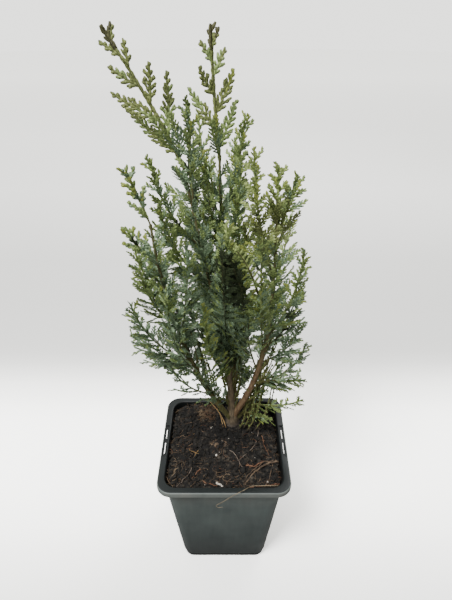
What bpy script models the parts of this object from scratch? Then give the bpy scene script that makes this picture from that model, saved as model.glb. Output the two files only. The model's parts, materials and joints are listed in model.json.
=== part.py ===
"""Potted lawson cypress: a young conifer in a square nursery pot, as separate closed solids.

Metres, +Z up. The origin is the middle of the pot's flat underside, and -Y is the front.
Lengths below are in millimetres and angles in degrees; MM turns a length into metres.
The plant is a trunk with a few boughs. Each mass of foliage is one solid that grows from
one stem by a seeded rule: flat sprays of twigs, with small flattened branchlets on them.
"""
import math
import random
from typing import NamedTuple

import bmesh
import bpy
from mathutils import Matrix, Vector
from mathutils.bvhtree import BVHTree

MM = 0.001
GAP = 0.3  # left between neighbouring solids

# Pot: a square shell with a thin flange and skirt for a rim, on a small raised foot
POT_HEIGHT = 95.0
POT_RIM_HALF = 45.0
POT_WALL = 1.0
POT_SKIRT_DROP = 4.0
POT_RIM_CORNER = 13.0
POT_BODY_TOP_HALF = 40.8
POT_BODY_FOOT_HALF = 31.5
POT_BODY_TOP_CORNER = 11.0
POT_BODY_FOOT_CORNER = 8.0
POT_LIP_ROUNDING = 1.1
POT_FOOT_HALF = 29.5
POT_FOOT_CORNER = 7.0
POT_FOOT_HEIGHT = 2.0
POT_FLOOR = 1.2
POT_CORNER_STEPS = 5

# Narrow slots through the side flanges: start and end along Y
SLOT_SPANS = ((-11.6, -1.6), (2.4, 10.8))
SLOT_WIDTH = 1.2
SLOT_FROM_EDGE = 2.7

# Drain holes, in a ring round the middle of the floor
DRAIN_COUNT = 8
DRAIN_RADIUS = 3.0
DRAIN_RING = 21.0
DRAIN_SIDES = 8

# Soil: a root ball that has shrunk a little from the walls near its rounded top
SOIL_EDGE_HEIGHT = 88.0
SOIL_DOME = 3.5
SOIL_SHOULDER = 5.0
SOIL_SHRINK = 1.6
SOIL_ROUNDING = 1 / 3  # how far from its edge the middle ring of the shoulder stands
SOIL_CORNER = 14.0
SOIL_RING_SHARES = (0.86, 0.68, 0.48, 0.26)

# Trunk: root flare, sides and the length of path between rings
TRUNK_FOOT = (6.4, 19.3)
FLARE = 1.5
FLARE_HEIGHT = 5.0
FLARE_RINGS = (1.5, 4.0)
TRUNK_SIDES = 9
BOUGH_SIDES = 7
WOOD_STEP = 9.0

START_SIDE = Vector((0.0, 1.0, 0.2))  # no limb leaves its foot in this direction

# Faces that meet under these angles are shaded as one surface
POT_SMOOTH = 35
SOIL_SMOOTH = 60
WOOD_SMOOTH = 50

# Foliage: stems, twigs and the flattened branchlets on them
STEM_RADIUS = 1.3
STEM_TIP_RADIUS = 0.8
STEM_STEP = 11.0
STEM_SIDES = 4
STEM_TIP_BARE = 4.0
TWIG_RADIUS = 1.0
TWIG_TIP_RADIUS = 0.6
TWIG_PITCH = 9.0
TWIG_ANGLE = 42.0
TWIG_CURL = 16.0
TWIG_STEPS = 2
TWIG_SIDES = 3
TWIG_TIP_BARE = 4.0
TWIG_SHORTEST = 8.0
TWIG_BARE_FOOT = 7.0
LEAF_PITCH = 6.4
LEAF_ANGLE = 40.0
LEAF_LENGTH = 13.5
LEAF_SHORTEST = 8.0
LEAF_WIDTH = 4.6
LEAF_THICKNESS = 1.8
LEAF_WIDEST_AT = 0.42
LEAF_SUNK = 0.6
LEAF_FALL = 0.4  # how much shorter the branchlets at a twig's tip are
REACH_TAPER = 0.75
REACH_SPREAD = (0.85, 1.05)
ROOT_SHARE = 0.3  # of a twig or branchlet, the part that may touch its own neighbours


class Limb(NamedTuple):
    """A woody limb: where it leaves its parent, how it bends and how it tapers."""

    name: str
    parent: str
    at: float  # share of the parent's length
    heading: float  # degrees from +X, seen from above
    turn: float  # change of heading along the limb
    rise: float  # degrees above level at the foot
    tip_rise: float
    length: float
    radius: float
    tip_radius: float
    taper: float  # 1 is a straight cone, more thins out sooner


class Mass(NamedTuple):
    """A mass of foliage: its stem's place and bend, and how its sprays spread."""

    name: str
    parent: str
    at: float
    heading: float
    turn: float
    rise: float
    tip_rise: float
    length: float
    reach: float  # longest twig
    facing: float  # degrees from +X that the flat of the spray looks
    roll: float  # how far twigs turn out of that flat, either way
    tint: str


LIMBS = (
    Limb("trunk", "", 0.0, -120, -132, 86, 88, 201, 4.1, 1.0, 3.2),
    Limb("right_bough", "trunk", 0.12, -27, -48, 64, 94, 160, 2.4, 1.0, 1.0),
    Limb("left_bough", "trunk", 0.08, -146, -11, 60, 86, 180, 2.0, 0.9, 1.0),
    Limb("left_leader", "trunk", 0.33, -142, -33, 79, 80, 150, 1.5, 0.9, 1.0),
    Limb("back_bough", "trunk", 0.1, 80, 10, 64, 88, 146, 1.9, 0.9, 1.0),
    Limb("low_shoot", "trunk", 0.05, 3, -10, 48, 82, 43, 1.5, 1.1, 1.0),
)
LIMB_BY_NAME = {limb.name: limb for limb in LIMBS}

FRONT = -90
MASSES = (
    Mass("left_leader_top", "left_leader", 1, -168, 0, 67, 57, 75, 30, FRONT, 25, "leader"),
    Mass("right_leader_top", "trunk", 1, -129, 0, 82, 87, 65, 28, FRONT, 30, "leader"),
    Mass("right_top_fan", "right_bough", 1, -17, 0, 72, 80, 37, 24, FRONT, 30, "green"),
    Mass("left_bough_top", "left_bough", 1, -166, 0, 73, 71, 32, 15, FRONT, 15, "leader"),
    Mass("middle_spray", "left_leader", 0.82, -92, 0, 81, 85, 60, 20, FRONT, 20, "green"),
    Mass("leader_right_spray", "trunk", 0.86, 17, 0, 67, 88, 57, 17, FRONT, 20, "green"),
    Mass("leader_left_upper", "left_leader", 0.68, -161, 0, 46, 85, 60, 22, FRONT, 20, "green"),
    Mass("leader_left_lower", "left_leader", 0.5, -145, 0, 46, 80, 67, 22, -70, 25, "blue"),
    Mass("pale_top_spray", "right_bough", 0.84, -148, 0, 69, 88, 77, 24, FRONT, 25, "pale"),
    Mass("pale_frond", "right_bough", 0.65, -141, 0, 45, 87, 83, 24, FRONT, 20, "pale"),
    Mass("pale_side_spray", "right_bough", 0.93, -105, 0, 83, 87, 53, 18, -115, 30, "pale"),
    Mass("front_right_spray", "right_bough", 0.48, -102, 0, 60, 86, 100, 20, -62, 35, "green"),
    Mass("right_middle_fan", "right_bough", 0.5, 1, 0, 47, 87, 50, 18, -70, 20, "blue"),
    Mass("right_outer_fan", "right_bough", 0.56, -31, 0, 62, 88, 70, 22, FRONT, 20, "green"),
    Mass("right_outer_low", "right_bough", 0.42, -14, 0, 32, 86, 44, 20, FRONT, 20, "blue"),
    Mass("right_low_twig", "right_bough", 0.27, -17, 0, 24, 83, 57, 14, FRONT, 10, "blue"),
    Mass("left_fan_upper", "left_bough", 0.86, 178, 0, 44, 69, 28, 16, FRONT, 15, "leader"),
    Mass("left_fan_middle", "left_bough", 0.75, -144, 0, 48, 85, 39, 20, FRONT, 20, "green"),
    Mass("left_fan_lower", "left_bough", 0.62, -127, 0, 48, 82, 56, 24, FRONT, 20, "blue"),
    Mass("left_low_spray", "left_bough", 0.43, -153, 0, 38, 79, 68, 25, FRONT, 20, "blue"),
    Mass("left_low_under", "left_bough", 0.36, -179, 0, 24, 57, 57, 16, FRONT, 15, "blue"),
    Mass("left_basal_spray", "left_bough", 0.22, -157, 0, 34, 76, 50, 12, FRONT, 20, "blue"),
    Mass("front_left_spray", "left_bough", 0.58, -74, 0, 44, 86, 90, 25, -58, 35, "blue"),
    Mass("front_centre_spray", "trunk", 0.5, -93, 0, 40, 84, 103, 27, -122, 35, "blue"),
    Mass("front_low_tuft", "trunk", 0.34, -108, 0, 36, 86, 97, 22, -60, 35, "leader"),
    Mass("front_low_left", "left_bough", 0.4, -106, 0, 44, 87, 92, 22, -120, 35, "blue"),
    Mass("upper_centre_spray", "trunk", 0.66, -63, 0, 68, 86, 80, 22, -65, 30, "blue"),
    Mass("leader_left_fill", "trunk", 0.74, -126, 0, 68, 86, 64, 20, -118, 30, "blue"),
    Mass("middle_back_spray", "trunk", 0.84, 140, 0, 64, 87, 59, 22, 120, 25, "green"),
    Mass("right_back_spray", "right_bough", 0.78, 68, 0, 34, 75, 49, 24, 45, 30, "green"),
    Mass("inner_right_spray", "right_bough", 0.36, -135, 0, 69, 87, 84, 20, -125, 35, "blue"),
    Mass("centre_back_spray", "trunk", 0.6, 60, 0, 32, 88, 54, 26, 25, 35, "blue"),
    Mass("low_right_fan", "low_shoot", 1, -23, 0, 30, 18, 39, 22, FRONT, 20, "green"),
    Mass("low_right_upright", "low_shoot", 0.72, 12, 0, 52, 57, 39, 14, -70, 15, "green"),
    Mass("low_right_front", "low_shoot", 0.55, -29, 0, 12, 46, 46, 16, FRONT, 30, "green"),
    Mass("low_front_tuft", "low_shoot", 0.32, -42, 0, 20, 21, 28, 15, FRONT, 30, "green"),
    Mass("low_shoot_spray", "low_shoot", 0.62, -53, 0, 50, 62, 29, 14, FRONT, 30, "green"),
    Mass("trunk_low_left", "trunk", 0.19, -137, 0, 44, 87, 61, 16, -70, 35, "blue"),
    Mass("back_top", "back_bough", 1, 120, 0, 80, 86, 58, 30, 60, 30, "green"),
    Mass("back_left_upper", "back_bough", 0.72, 168, 0, 38, 72, 62, 26, 125, 30, "blue"),
    Mass("back_right_upper", "back_bough", 0.78, 20, 0, 38, 70, 56, 26, 50, 30, "green"),
    Mass("back_left_lower", "back_bough", 0.42, 160, 0, 30, 60, 62, 26, 95, 30, "blue"),
    Mass("back_right_lower", "back_bough", 0.46, 14, 0, 30, 62, 56, 24, 75, 30, "blue"),
    Mass("trunk_back_upper", "trunk", 0.7, 95, 0, 60, 86, 60, 24, 170, 30, "green"),
    Mass("trunk_back_middle", "trunk", 0.44, 125, 0, 48, 80, 62, 24, 30, 30, "blue"),
    Mass("leader_back_spray", "left_leader", 0.6, 115, 0, 54, 86, 62, 22, 150, 30, "green"),
    Mass("left_back_spray", "left_bough", 0.55, 125, 0, 36, 78, 62, 24, 75, 30, "blue"),
    Mass("right_back_low", "right_bough", 0.36, 58, 0, 36, 76, 54, 22, 100, 30, "blue"),
    Mass("back_low_spray", "back_bough", 0.3, 86, 0, 30, 70, 60, 24, 40, 35, "blue"),
)

# Surfaces: colour, roughness
FINISHES = {
    "pot": ((0.065, 0.076, 0.072), 0.42),
    "soil": ((0.030, 0.023, 0.017), 0.95),
    "bark": ((0.150, 0.085, 0.050), 0.85),
    "green": ((0.110, 0.160, 0.055), 0.60),
    "leader": ((0.165, 0.200, 0.050), 0.60),
    "blue": ((0.085, 0.135, 0.080), 0.60),
    "pale": ((0.220, 0.290, 0.110), 0.60),
}


def material(finish):
    """One Principled material for a named finish, made once and then shared."""
    found = bpy.data.materials.get(finish)
    if found:
        return found
    colour, roughness = FINISHES[finish]
    made = bpy.data.materials.new(finish)
    made.use_nodes = True
    shader = made.node_tree.nodes["Principled BSDF"]
    shader.inputs["Base Color"].default_value = (*colour, 1.0)
    shader.inputs["Roughness"].default_value = roughness
    shader.inputs["Metallic"].default_value = 0.0
    return made


def add_object(name, shape, finish=None, smooth_below=None, collection=None):
    """Object from (points in mm, faces); faces that meet under smooth_below degrees blend."""
    points, faces = shape
    mesh = bpy.data.meshes.new(name)
    mesh.from_pydata([tuple(c * MM for c in point) for point in points], [], faces)
    mesh.validate()
    if smooth_below:
        mesh.shade_smooth()
        mesh.set_sharp_from_angle(angle=math.radians(smooth_below))
    made = bpy.data.objects.new(name, mesh)
    if finish:
        mesh.materials.append(material(finish))
    (collection or bpy.context.scene.collection).objects.link(made)
    return made


def remove_object(thing):
    """Take an object and its mesh out of the file."""
    mesh = thing.data
    bpy.data.objects.remove(thing)
    bpy.data.meshes.remove(mesh)


def apply_boolean(target, operation, operand=None, collection=None):
    """Combine target with an object or a whole collection, for good."""
    modifier = target.modifiers.new(operation.lower(), "BOOLEAN")
    modifier.operation = operation
    modifier.solver = "EXACT"
    if collection:
        modifier.operand_type = "COLLECTION"
        modifier.collection = collection
    else:
        modifier.object = operand
    bpy.context.view_layer.update()
    evaluated = target.evaluated_get(bpy.context.evaluated_depsgraph_get())
    combined = bpy.data.meshes.new_from_object(evaluated)
    target.modifiers.clear()
    before = target.data
    combined.name = before.name
    target.data = combined
    bpy.data.meshes.remove(before)


def keep_largest_body(thing):
    """Drop loose scraps, and the inner skin of any hollow that a union has sealed."""
    shell = bmesh.new()
    shell.from_mesh(thing.data)
    waiting = set(shell.faces)
    bodies = []
    while waiting:
        edge_of_search = [waiting.pop()]
        body = []
        while edge_of_search:
            face = edge_of_search.pop()
            body.append(face)
            for edge in face.edges:
                for other in edge.link_faces:
                    if other in waiting:
                        waiting.remove(other)
                        edge_of_search.append(other)
        bodies.append(body)
    bodies.sort(key=len)
    scraps = [face for body in bodies[:-1] for face in body]
    bmesh.ops.delete(shell, geom=scraps, context="FACES")
    shell.to_mesh(thing.data)
    shell.free()


def loft(rings):
    """Closed solid through rings of equal count, capped at both ends."""
    count = len(rings[0])
    points = [point for ring in rings for point in ring]
    faces = [tuple(reversed(range(count)))]
    for level in range(len(rings) - 1):
        low = level * count
        for i in range(count):
            j = (i + 1) % count
            faces.append((low + i, low + j, low + count + j, low + count + i))
    top = (len(rings) - 1) * count
    faces.append(tuple(range(top, top + count)))
    return points, faces


def rounded_square(half, corner, z):
    """Ring of points, anticlockwise from above."""
    ring = []
    for quadrant in range(4):
        start = quadrant * math.pi / 2
        centre = Vector((math.cos(start + math.pi / 4), math.sin(start + math.pi / 4)))
        centre *= (half - corner) * math.sqrt(2)
        for step in range(POT_CORNER_STEPS + 1):
            angle = start + step / POT_CORNER_STEPS * math.pi / 2
            x = centre.x + corner * math.cos(angle)
            y = centre.y + corner * math.sin(angle)
            ring.append((x, y, z))
    return ring


def inner_half(z):
    """Half width inside the pot's wall at a height."""
    share = (z - POT_FOOT_HEIGHT) / (POT_HEIGHT - POT_WALL - POT_FOOT_HEIGHT)
    outer = POT_BODY_FOOT_HALF + share * (POT_BODY_TOP_HALF - POT_BODY_FOOT_HALF)
    return outer - POT_WALL


def inner_corner(z):
    """Corner radius inside the pot's wall at a height."""
    share = (z - POT_FOOT_HEIGHT) / (POT_HEIGHT - POT_WALL - POT_FOOT_HEIGHT)
    outer = POT_BODY_FOOT_CORNER + share * (POT_BODY_TOP_CORNER - POT_BODY_FOOT_CORNER)
    return outer - POT_WALL


def box(low, high):
    """Plain block between two corners, as points and faces."""
    ring = ((low[0], low[1]), (high[0], low[1]), (high[0], high[1]), (low[0], high[1]))
    return loft([[(x, y, z) for x, y in ring] for z in (low[2], high[2])])


def cut_and_remove(target, cutter):
    """Cut one solid out of another."""
    cutter.hide_render = True
    cutter.display_type = "WIRE"
    apply_boolean(target, "DIFFERENCE", operand=cutter)
    remove_object(cutter)


def build_pot():
    """Shell from its foot up over the rim and down inside, then its slots and drain holes."""
    flange_under = POT_HEIGHT - POT_WALL
    skirt_foot = POT_HEIGHT - POT_SKIRT_DROP
    skirt_inner = POT_RIM_HALF - POT_WALL
    lip = POT_LIP_ROUNDING
    bevel = lip * (1 - math.sqrt(0.5))
    floor_top = POT_FOOT_HEIGHT + POT_FLOOR
    mouth = inner_half(flange_under)
    profile = (
        (POT_FOOT_HALF, POT_FOOT_CORNER, 0.0),
        (POT_FOOT_HALF, POT_FOOT_CORNER, POT_FOOT_HEIGHT),
        (POT_BODY_FOOT_HALF, POT_BODY_FOOT_CORNER, POT_FOOT_HEIGHT),
        (POT_BODY_TOP_HALF, POT_BODY_TOP_CORNER, flange_under),
        (skirt_inner, POT_RIM_CORNER - POT_WALL, flange_under),
        (skirt_inner, POT_RIM_CORNER - POT_WALL, skirt_foot),
        (POT_RIM_HALF, POT_RIM_CORNER, skirt_foot),
        (POT_RIM_HALF, POT_RIM_CORNER, POT_HEIGHT - lip),
        (POT_RIM_HALF - bevel, POT_RIM_CORNER - bevel, POT_HEIGHT - bevel),
        (POT_RIM_HALF - lip, POT_RIM_CORNER - lip, POT_HEIGHT),
        (mouth + lip, POT_BODY_TOP_CORNER + POT_WALL, POT_HEIGHT),
        (mouth, POT_BODY_TOP_CORNER - POT_WALL, POT_HEIGHT - lip),
        (inner_half(floor_top), inner_corner(floor_top), floor_top),
    )
    rings = [rounded_square(half, corner, z) for half, corner, z in profile]
    pot = add_object("pot", loft(rings), "pot", smooth_below=POT_SMOOTH)
    middle = POT_RIM_HALF - SLOT_FROM_EDGE
    for side in (-1, 1):
        edges = sorted(side * (middle + offset) for offset in (-SLOT_WIDTH / 2, SLOT_WIDTH / 2))
        for start, end in SLOT_SPANS:
            low = (edges[0], start, flange_under - POT_WALL)
            high = (edges[1], end, POT_HEIGHT + POT_WALL)
            cut_and_remove(pot, add_object("slot_cutter", box(low, high)))
    for i in range(DRAIN_COUNT):
        around = math.tau * i / DRAIN_COUNT
        x = DRAIN_RING * math.cos(around)
        y = DRAIN_RING * math.sin(around)
        rings = []
        for z in (-POT_WALL, floor_top + POT_WALL):
            ring = []
            for k in range(DRAIN_SIDES):
                angle = math.tau * k / DRAIN_SIDES
                ring.append((x + DRAIN_RADIUS * math.cos(angle), y + DRAIN_RADIUS * math.sin(angle), z))
            rings.append(ring)
        cut_and_remove(pot, add_object("drain_cutter", loft(rings)))
    return pot


def build_soil():
    """Root ball that fills the pot, with a low dome that is flat where the trunk stands."""
    foot = POT_FOOT_HEIGHT + POT_FLOOR + GAP
    shoulder = SOIL_EDGE_HEIGHT - SOIL_SHOULDER
    rings = []
    for z in (foot, shoulder):
        rings.append(rounded_square(inner_half(z) - GAP, inner_corner(z), z))
    halfway = inner_half(shoulder) - SOIL_SHRINK * SOIL_ROUNDING
    corner = (inner_corner(shoulder) + SOIL_CORNER) / 2
    rings.append(rounded_square(halfway, corner, SOIL_EDGE_HEIGHT - SOIL_SHOULDER * SOIL_ROUNDING))
    edge = rounded_square(inner_half(shoulder) - SOIL_SHRINK, SOIL_CORNER, SOIL_EDGE_HEIGHT)
    rings.append(edge)
    for share in SOIL_RING_SHARES:
        height = SOIL_EDGE_HEIGHT + SOIL_DOME * (1 - share ** 2)
        ring = []
        for x, y, _ in edge:
            ring.append((TRUNK_FOOT[0] + share * (x - TRUNK_FOOT[0]),
                         TRUNK_FOOT[1] + share * (y - TRUNK_FOOT[1]), height))
        rings.append(ring)
    return add_object("soil", loft(rings), "soil", smooth_below=SOIL_SMOOTH)


def soil_top():
    """Height of the flat patch of soil under the trunk."""
    return SOIL_EDGE_HEIGHT + SOIL_DOME * (1 - SOIL_RING_SHARES[-1] ** 2)


def heading_vector(heading, rise):
    """Unit vector from a heading and a rise, in degrees."""
    a = math.radians(heading)
    b = math.radians(rise)
    return Vector((math.cos(a) * math.cos(b), math.sin(a) * math.cos(b), math.sin(b)))


def bent_path(start, limb, step):
    """Points along a limb or stem whose heading and rise change evenly."""
    count = max(3, round(limb.length / step))
    points = [Vector(start)]
    for i in range(count):
        share = (i + 0.5) / count
        rise = limb.rise + (limb.tip_rise - limb.rise) * share
        points.append(points[-1] + heading_vector(limb.heading + limb.turn * share, rise)
                      * limb.length / count)
    return points


def point_at(points, share):
    """Point and direction at a share of a path's length."""
    place = share * (len(points) - 1)
    index = min(int(place), len(points) - 2)
    ahead = points[index + 1] - points[index]
    return points[index] + ahead * (place - index), ahead.normalized()


def tube(points, radii, sides):
    """Tapering tube with flat ends round a path, as points and faces."""
    rings = []
    ahead = (points[1] - points[0]).normalized()
    across = ahead.cross(START_SIDE).normalized()
    for i, point in enumerate(points):
        before = points[max(i - 1, 0)]
        after = points[min(i + 1, len(points) - 1)]
        ahead = (after - before).normalized()
        across = (across - ahead * across.dot(ahead)).normalized()
        up = ahead.cross(across)
        ring = []
        for k in range(sides):
            angle = math.tau * k / sides
            ring.append(point + radii[i] * (math.cos(angle) * across + math.sin(angle) * up))
        rings.append(ring)
    return loft(rings)


def path_shares(points):
    """Share of the length of a path at each of its points."""
    run = [0.0]
    for before, after in zip(points, points[1:]):
        run.append(run[-1] + (after - before).length)
    return [length / run[-1] for length in run]


def limb_radius(limb, share):
    """Radius at a share of a limb's length; the trunk also flares at its foot."""
    radius = limb.tip_radius + (limb.radius - limb.tip_radius) * (1 - share) ** limb.taper
    if not limb.parent:
        radius += FLARE * math.exp(-share * limb.length / FLARE_HEIGHT)
    return radius


def limb_tube(limb, path, sides, extra=0.0):
    """A limb's tube, or a wider one that clears it by extra."""
    radii = [limb_radius(limb, share) + extra for share in path_shares(path)]
    return tube(path, radii, sides)


def build_limbs():
    """Trunk and boughs; each bough's foot is cut to sit against its parent."""
    paths = {}
    shapes = {}
    for limb in LIMBS:
        if limb.parent:
            start, _ = point_at(paths[limb.parent], limb.at)
        else:
            start = Vector((*TRUNK_FOOT, soil_top() + GAP))
        path = bent_path(start, limb, WOOD_STEP)
        if not limb.parent:
            path[1:1] = [start + Vector((0.0, 0.0, rise)) for rise in FLARE_RINGS]
        paths[limb.name] = path
        shape = limb_tube(limb, path, BOUGH_SIDES if limb.parent else TRUNK_SIDES)
        made = add_object(limb.name, shape, "bark", smooth_below=WOOD_SMOOTH)
        if limb.parent:
            parent = LIMB_BY_NAME[limb.parent]
            wider = limb_tube(parent, paths[parent.name], TRUNK_SIDES, GAP)
            cut_and_remove(made, add_object("parent_cutter", wider))
            keep_largest_body(made)
        shapes[limb.name] = shape
    return paths, shapes


def stem_path(mass, paths):
    """Stem of a mass, from a flat foot that just clears the limb it grows from."""
    limb = LIMB_BY_NAME[mass.parent]
    place, along = point_at(paths[mass.parent], mass.at)
    ahead = heading_vector(mass.heading, mass.rise)
    lean = ahead.cross(along).length
    if mass.at < 1:
        aside = limb_radius(limb, mass.at) + GAP + STEM_RADIUS * ahead.dot(along)
        clear = aside / lean
    else:
        clear = GAP + STEM_RADIUS * lean
    shorter = mass._replace(length=mass.length - clear)
    return bent_path(place + ahead * clear, shorter, STEM_STEP)


def stem_shape(path):
    """Tube of a mass's stem."""
    radii = [STEM_RADIUS + share * (STEM_TIP_RADIUS - STEM_RADIUS) for share in path_shares(path)]
    return tube(path, radii, STEM_SIDES)


def twig_path(root, ahead, across, reach):
    """Twig that leaves its stem at an angle and curls back towards the stem's line."""
    points = [root]
    for i in range(TWIG_STEPS):
        angle = math.radians(TWIG_ANGLE - TWIG_CURL * i / TWIG_STEPS)
        onward = ahead * math.cos(angle) + across * math.sin(angle)
        points.append(points[-1] + onward * reach / TWIG_STEPS)
    return points


def twig_shape(path, extra=0.0):
    """Three-sided tube of a twig, thinner at its tip, or a wider one for a test."""
    radii = [TWIG_RADIUS + extra] * len(path)
    radii[-1] = TWIG_TIP_RADIUS + extra
    return tube(path, radii, TWIG_SIDES)


def leaf_shape(root, ahead, flat, length, extra=0.0):
    """Flattened branchlet of eight faces, widest short of its middle."""
    across = ahead.cross(flat).normalized()
    foot = root - ahead * LEAF_SUNK
    middle = root + ahead * length * LEAF_WIDEST_AT
    wide = across * (LEAF_WIDTH / 2 + extra)
    thick = flat * (LEAF_THICKNESS / 2 + extra)
    points = [foot, middle + wide, middle + thick, middle - wide, middle - thick,
              root + ahead * (length + extra)]
    faces = []
    for i in range(4):
        j = (i + 1) % 4
        faces.append((0, 1 + i, 1 + j))
        faces.append((5, 1 + j, 1 + i))
    return points, faces


def tree_of(shapes):
    """Search tree over one or more shapes, for touch tests."""
    points = []
    faces = []
    for shape_points, shape_faces in shapes:
        first = len(points)
        points.extend(shape_points)
        faces.extend(tuple(first + i for i in face) for face in shape_faces)
    return BVHTree.FromPolygons(points, faces)


def touches(shape, trees):
    """Whether a shape's surface crosses any of the trees."""
    probe = tree_of([shape])
    return any(probe.overlap(tree) for tree in trees)


def beyond_root(path):
    """Path without the first stretch, which may touch what carries it."""
    start, _ = point_at(path, ROOT_SHARE)
    kept = [point for point, share in zip(path, path_shares(path)) if share > ROOT_SHARE]
    return [start] + kept


def flat_side(mass, ahead, chance):
    """Direction that a spray's flat side looks, turned a little out of the mass's own."""
    flat = heading_vector(mass.facing, 0)
    flat = (flat - ahead * flat.dot(ahead)).normalized()
    turn = math.radians(chance.uniform(-mass.roll, mass.roll))
    return Matrix.Rotation(turn, 3, ahead) @ flat


def leaf_clear(root, ahead, flat, length, foreign, own):
    """Branchlet at a place, or None where it would touch anything but its carrier."""
    outer = leaf_shape(root + ahead * length * ROOT_SHARE, ahead, flat,
                       length * (1 - ROOT_SHARE), GAP)
    if touches(leaf_shape(root, ahead, flat, length, GAP), foreign) or touches(outer, own):
        return None
    return leaf_shape(root, ahead, flat, length)


def grow_mass(mass, stem, foreign):
    """Twigs and branchlets of a mass by its seeded rule, leaving out what would touch."""
    chance = random.Random(mass.name)
    shapes = [stem_shape(stem)]
    own = [tree_of(shapes)]
    length = mass.length
    place = TWIG_BARE_FOOT
    side = chance.choice((-1, 1))
    while place < length - STEM_TIP_BARE:
        share = place / length
        root, ahead = point_at(stem, share)
        flat = flat_side(mass, ahead, chance)
        across = flat.cross(ahead) * side
        reach = mass.reach * (1 - share) ** REACH_TAPER * chance.uniform(*REACH_SPREAD)
        reach = max(reach, TWIG_SHORTEST)
        side = -side
        if reach < LEAF_LENGTH:
            angle = math.radians(LEAF_ANGLE)
            onward = ahead * math.cos(angle) + across * math.sin(angle)
            leaf = leaf_clear(root, onward, flat, reach, foreign, own[1:])
            if leaf:
                shapes.append(leaf)
                own.append(tree_of([leaf]))
            place += LEAF_PITCH
            continue
        place += TWIG_PITCH
        path = twig_path(root, ahead, across, reach)
        outer = twig_shape(beyond_root(path), GAP)
        if touches(twig_shape(path, GAP), foreign) or touches(outer, own):
            continue
        twig = twig_shape(path)
        others = list(own)
        shapes.append(twig)
        own.append(tree_of([twig]))
        leaf_side = side
        along = LEAF_PITCH
        while along < reach - TWIG_TIP_BARE:
            root, ahead = point_at(path, along / reach)
            angle = math.radians(LEAF_ANGLE)
            onward = ahead * math.cos(angle) + flat.cross(ahead) * leaf_side * math.sin(angle)
            size = max(LEAF_SHORTEST, LEAF_LENGTH * (1 - LEAF_FALL * along / reach))
            leaf = leaf_clear(root, onward, flat, size, foreign, others)
            if leaf:
                shapes.append(leaf)
                own.append(tree_of([leaf]))
                others.append(own[-1])
            leaf_side = -leaf_side
            along += LEAF_PITCH
    return shapes


def join_mass(mass, shapes):
    """One closed solid from a stem and all that grows on it."""
    joined = add_object(mass.name, shapes[0], mass.tint)
    pieces = bpy.data.collections.new("pieces")
    bpy.context.scene.collection.children.link(pieces)
    for shape in shapes[1:]:
        add_object("piece", shape, mass.tint, collection=pieces)
    apply_boolean(joined, "UNION", collection=pieces)
    for piece in list(pieces.objects):
        remove_object(piece)
    bpy.data.collections.remove(pieces)
    keep_largest_body(joined)
    return joined


def build_foliage(paths, solid_trees):
    """All masses; each keeps clear of the pot, the limbs, every stem and earlier masses."""
    stems = {mass.name: stem_path(mass, paths) for mass in MASSES}
    trees = {name: tree_of([stem_shape(stem)]) for name, stem in stems.items()}
    for mass in MASSES:
        foreign = solid_trees + [tree for name, tree in trees.items() if name != mass.name]
        shapes = grow_mass(mass, stems[mass.name], foreign)
        trees[mass.name] = tree_of(shapes)
        join_mass(mass, shapes)


def main():
    """Build the whole potted plant in an empty scene."""
    for thing in list(bpy.data.objects):
        bpy.data.objects.remove(thing)
    build_pot()
    build_soil()
    paths, limb_shapes = build_limbs()
    solid_trees = [tree_of([shape]) for shape in limb_shapes.values()]
    for name in ("pot", "soil"):
        mesh = bpy.data.objects[name].data
        points = [vertex.co / MM for vertex in mesh.vertices]
        faces = [tuple(polygon.vertices) for polygon in mesh.polygons]
        solid_trees.append(tree_of([(points, faces)]))
    build_foliage(paths, solid_trees)


if __name__ == "__main__":
    main()
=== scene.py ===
"""Looks of a potted lawson cypress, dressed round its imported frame.

Sizes in this file are in millimetres and degrees, and meshes are in metres. The origin is the
middle of the pot's flat underside, +Z is up and -Y is the front. The plant grows by one seeded
rule: limbs, the stem of each mass of foliage, twigs along it, branchlets along those, and last
the overlapping scale leaves that clothe them all.
"""
from __future__ import annotations

import json
import logging
import math
import random
from collections import defaultdict
from dataclasses import dataclass, field
from enum import Enum
from typing import Any, Callable, Iterator, NamedTuple, Sequence

import bmesh
import bpy
from bpy.types import Material, NodeSocket, NodeTree, Object
from mathutils import Matrix, Vector, noise

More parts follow.
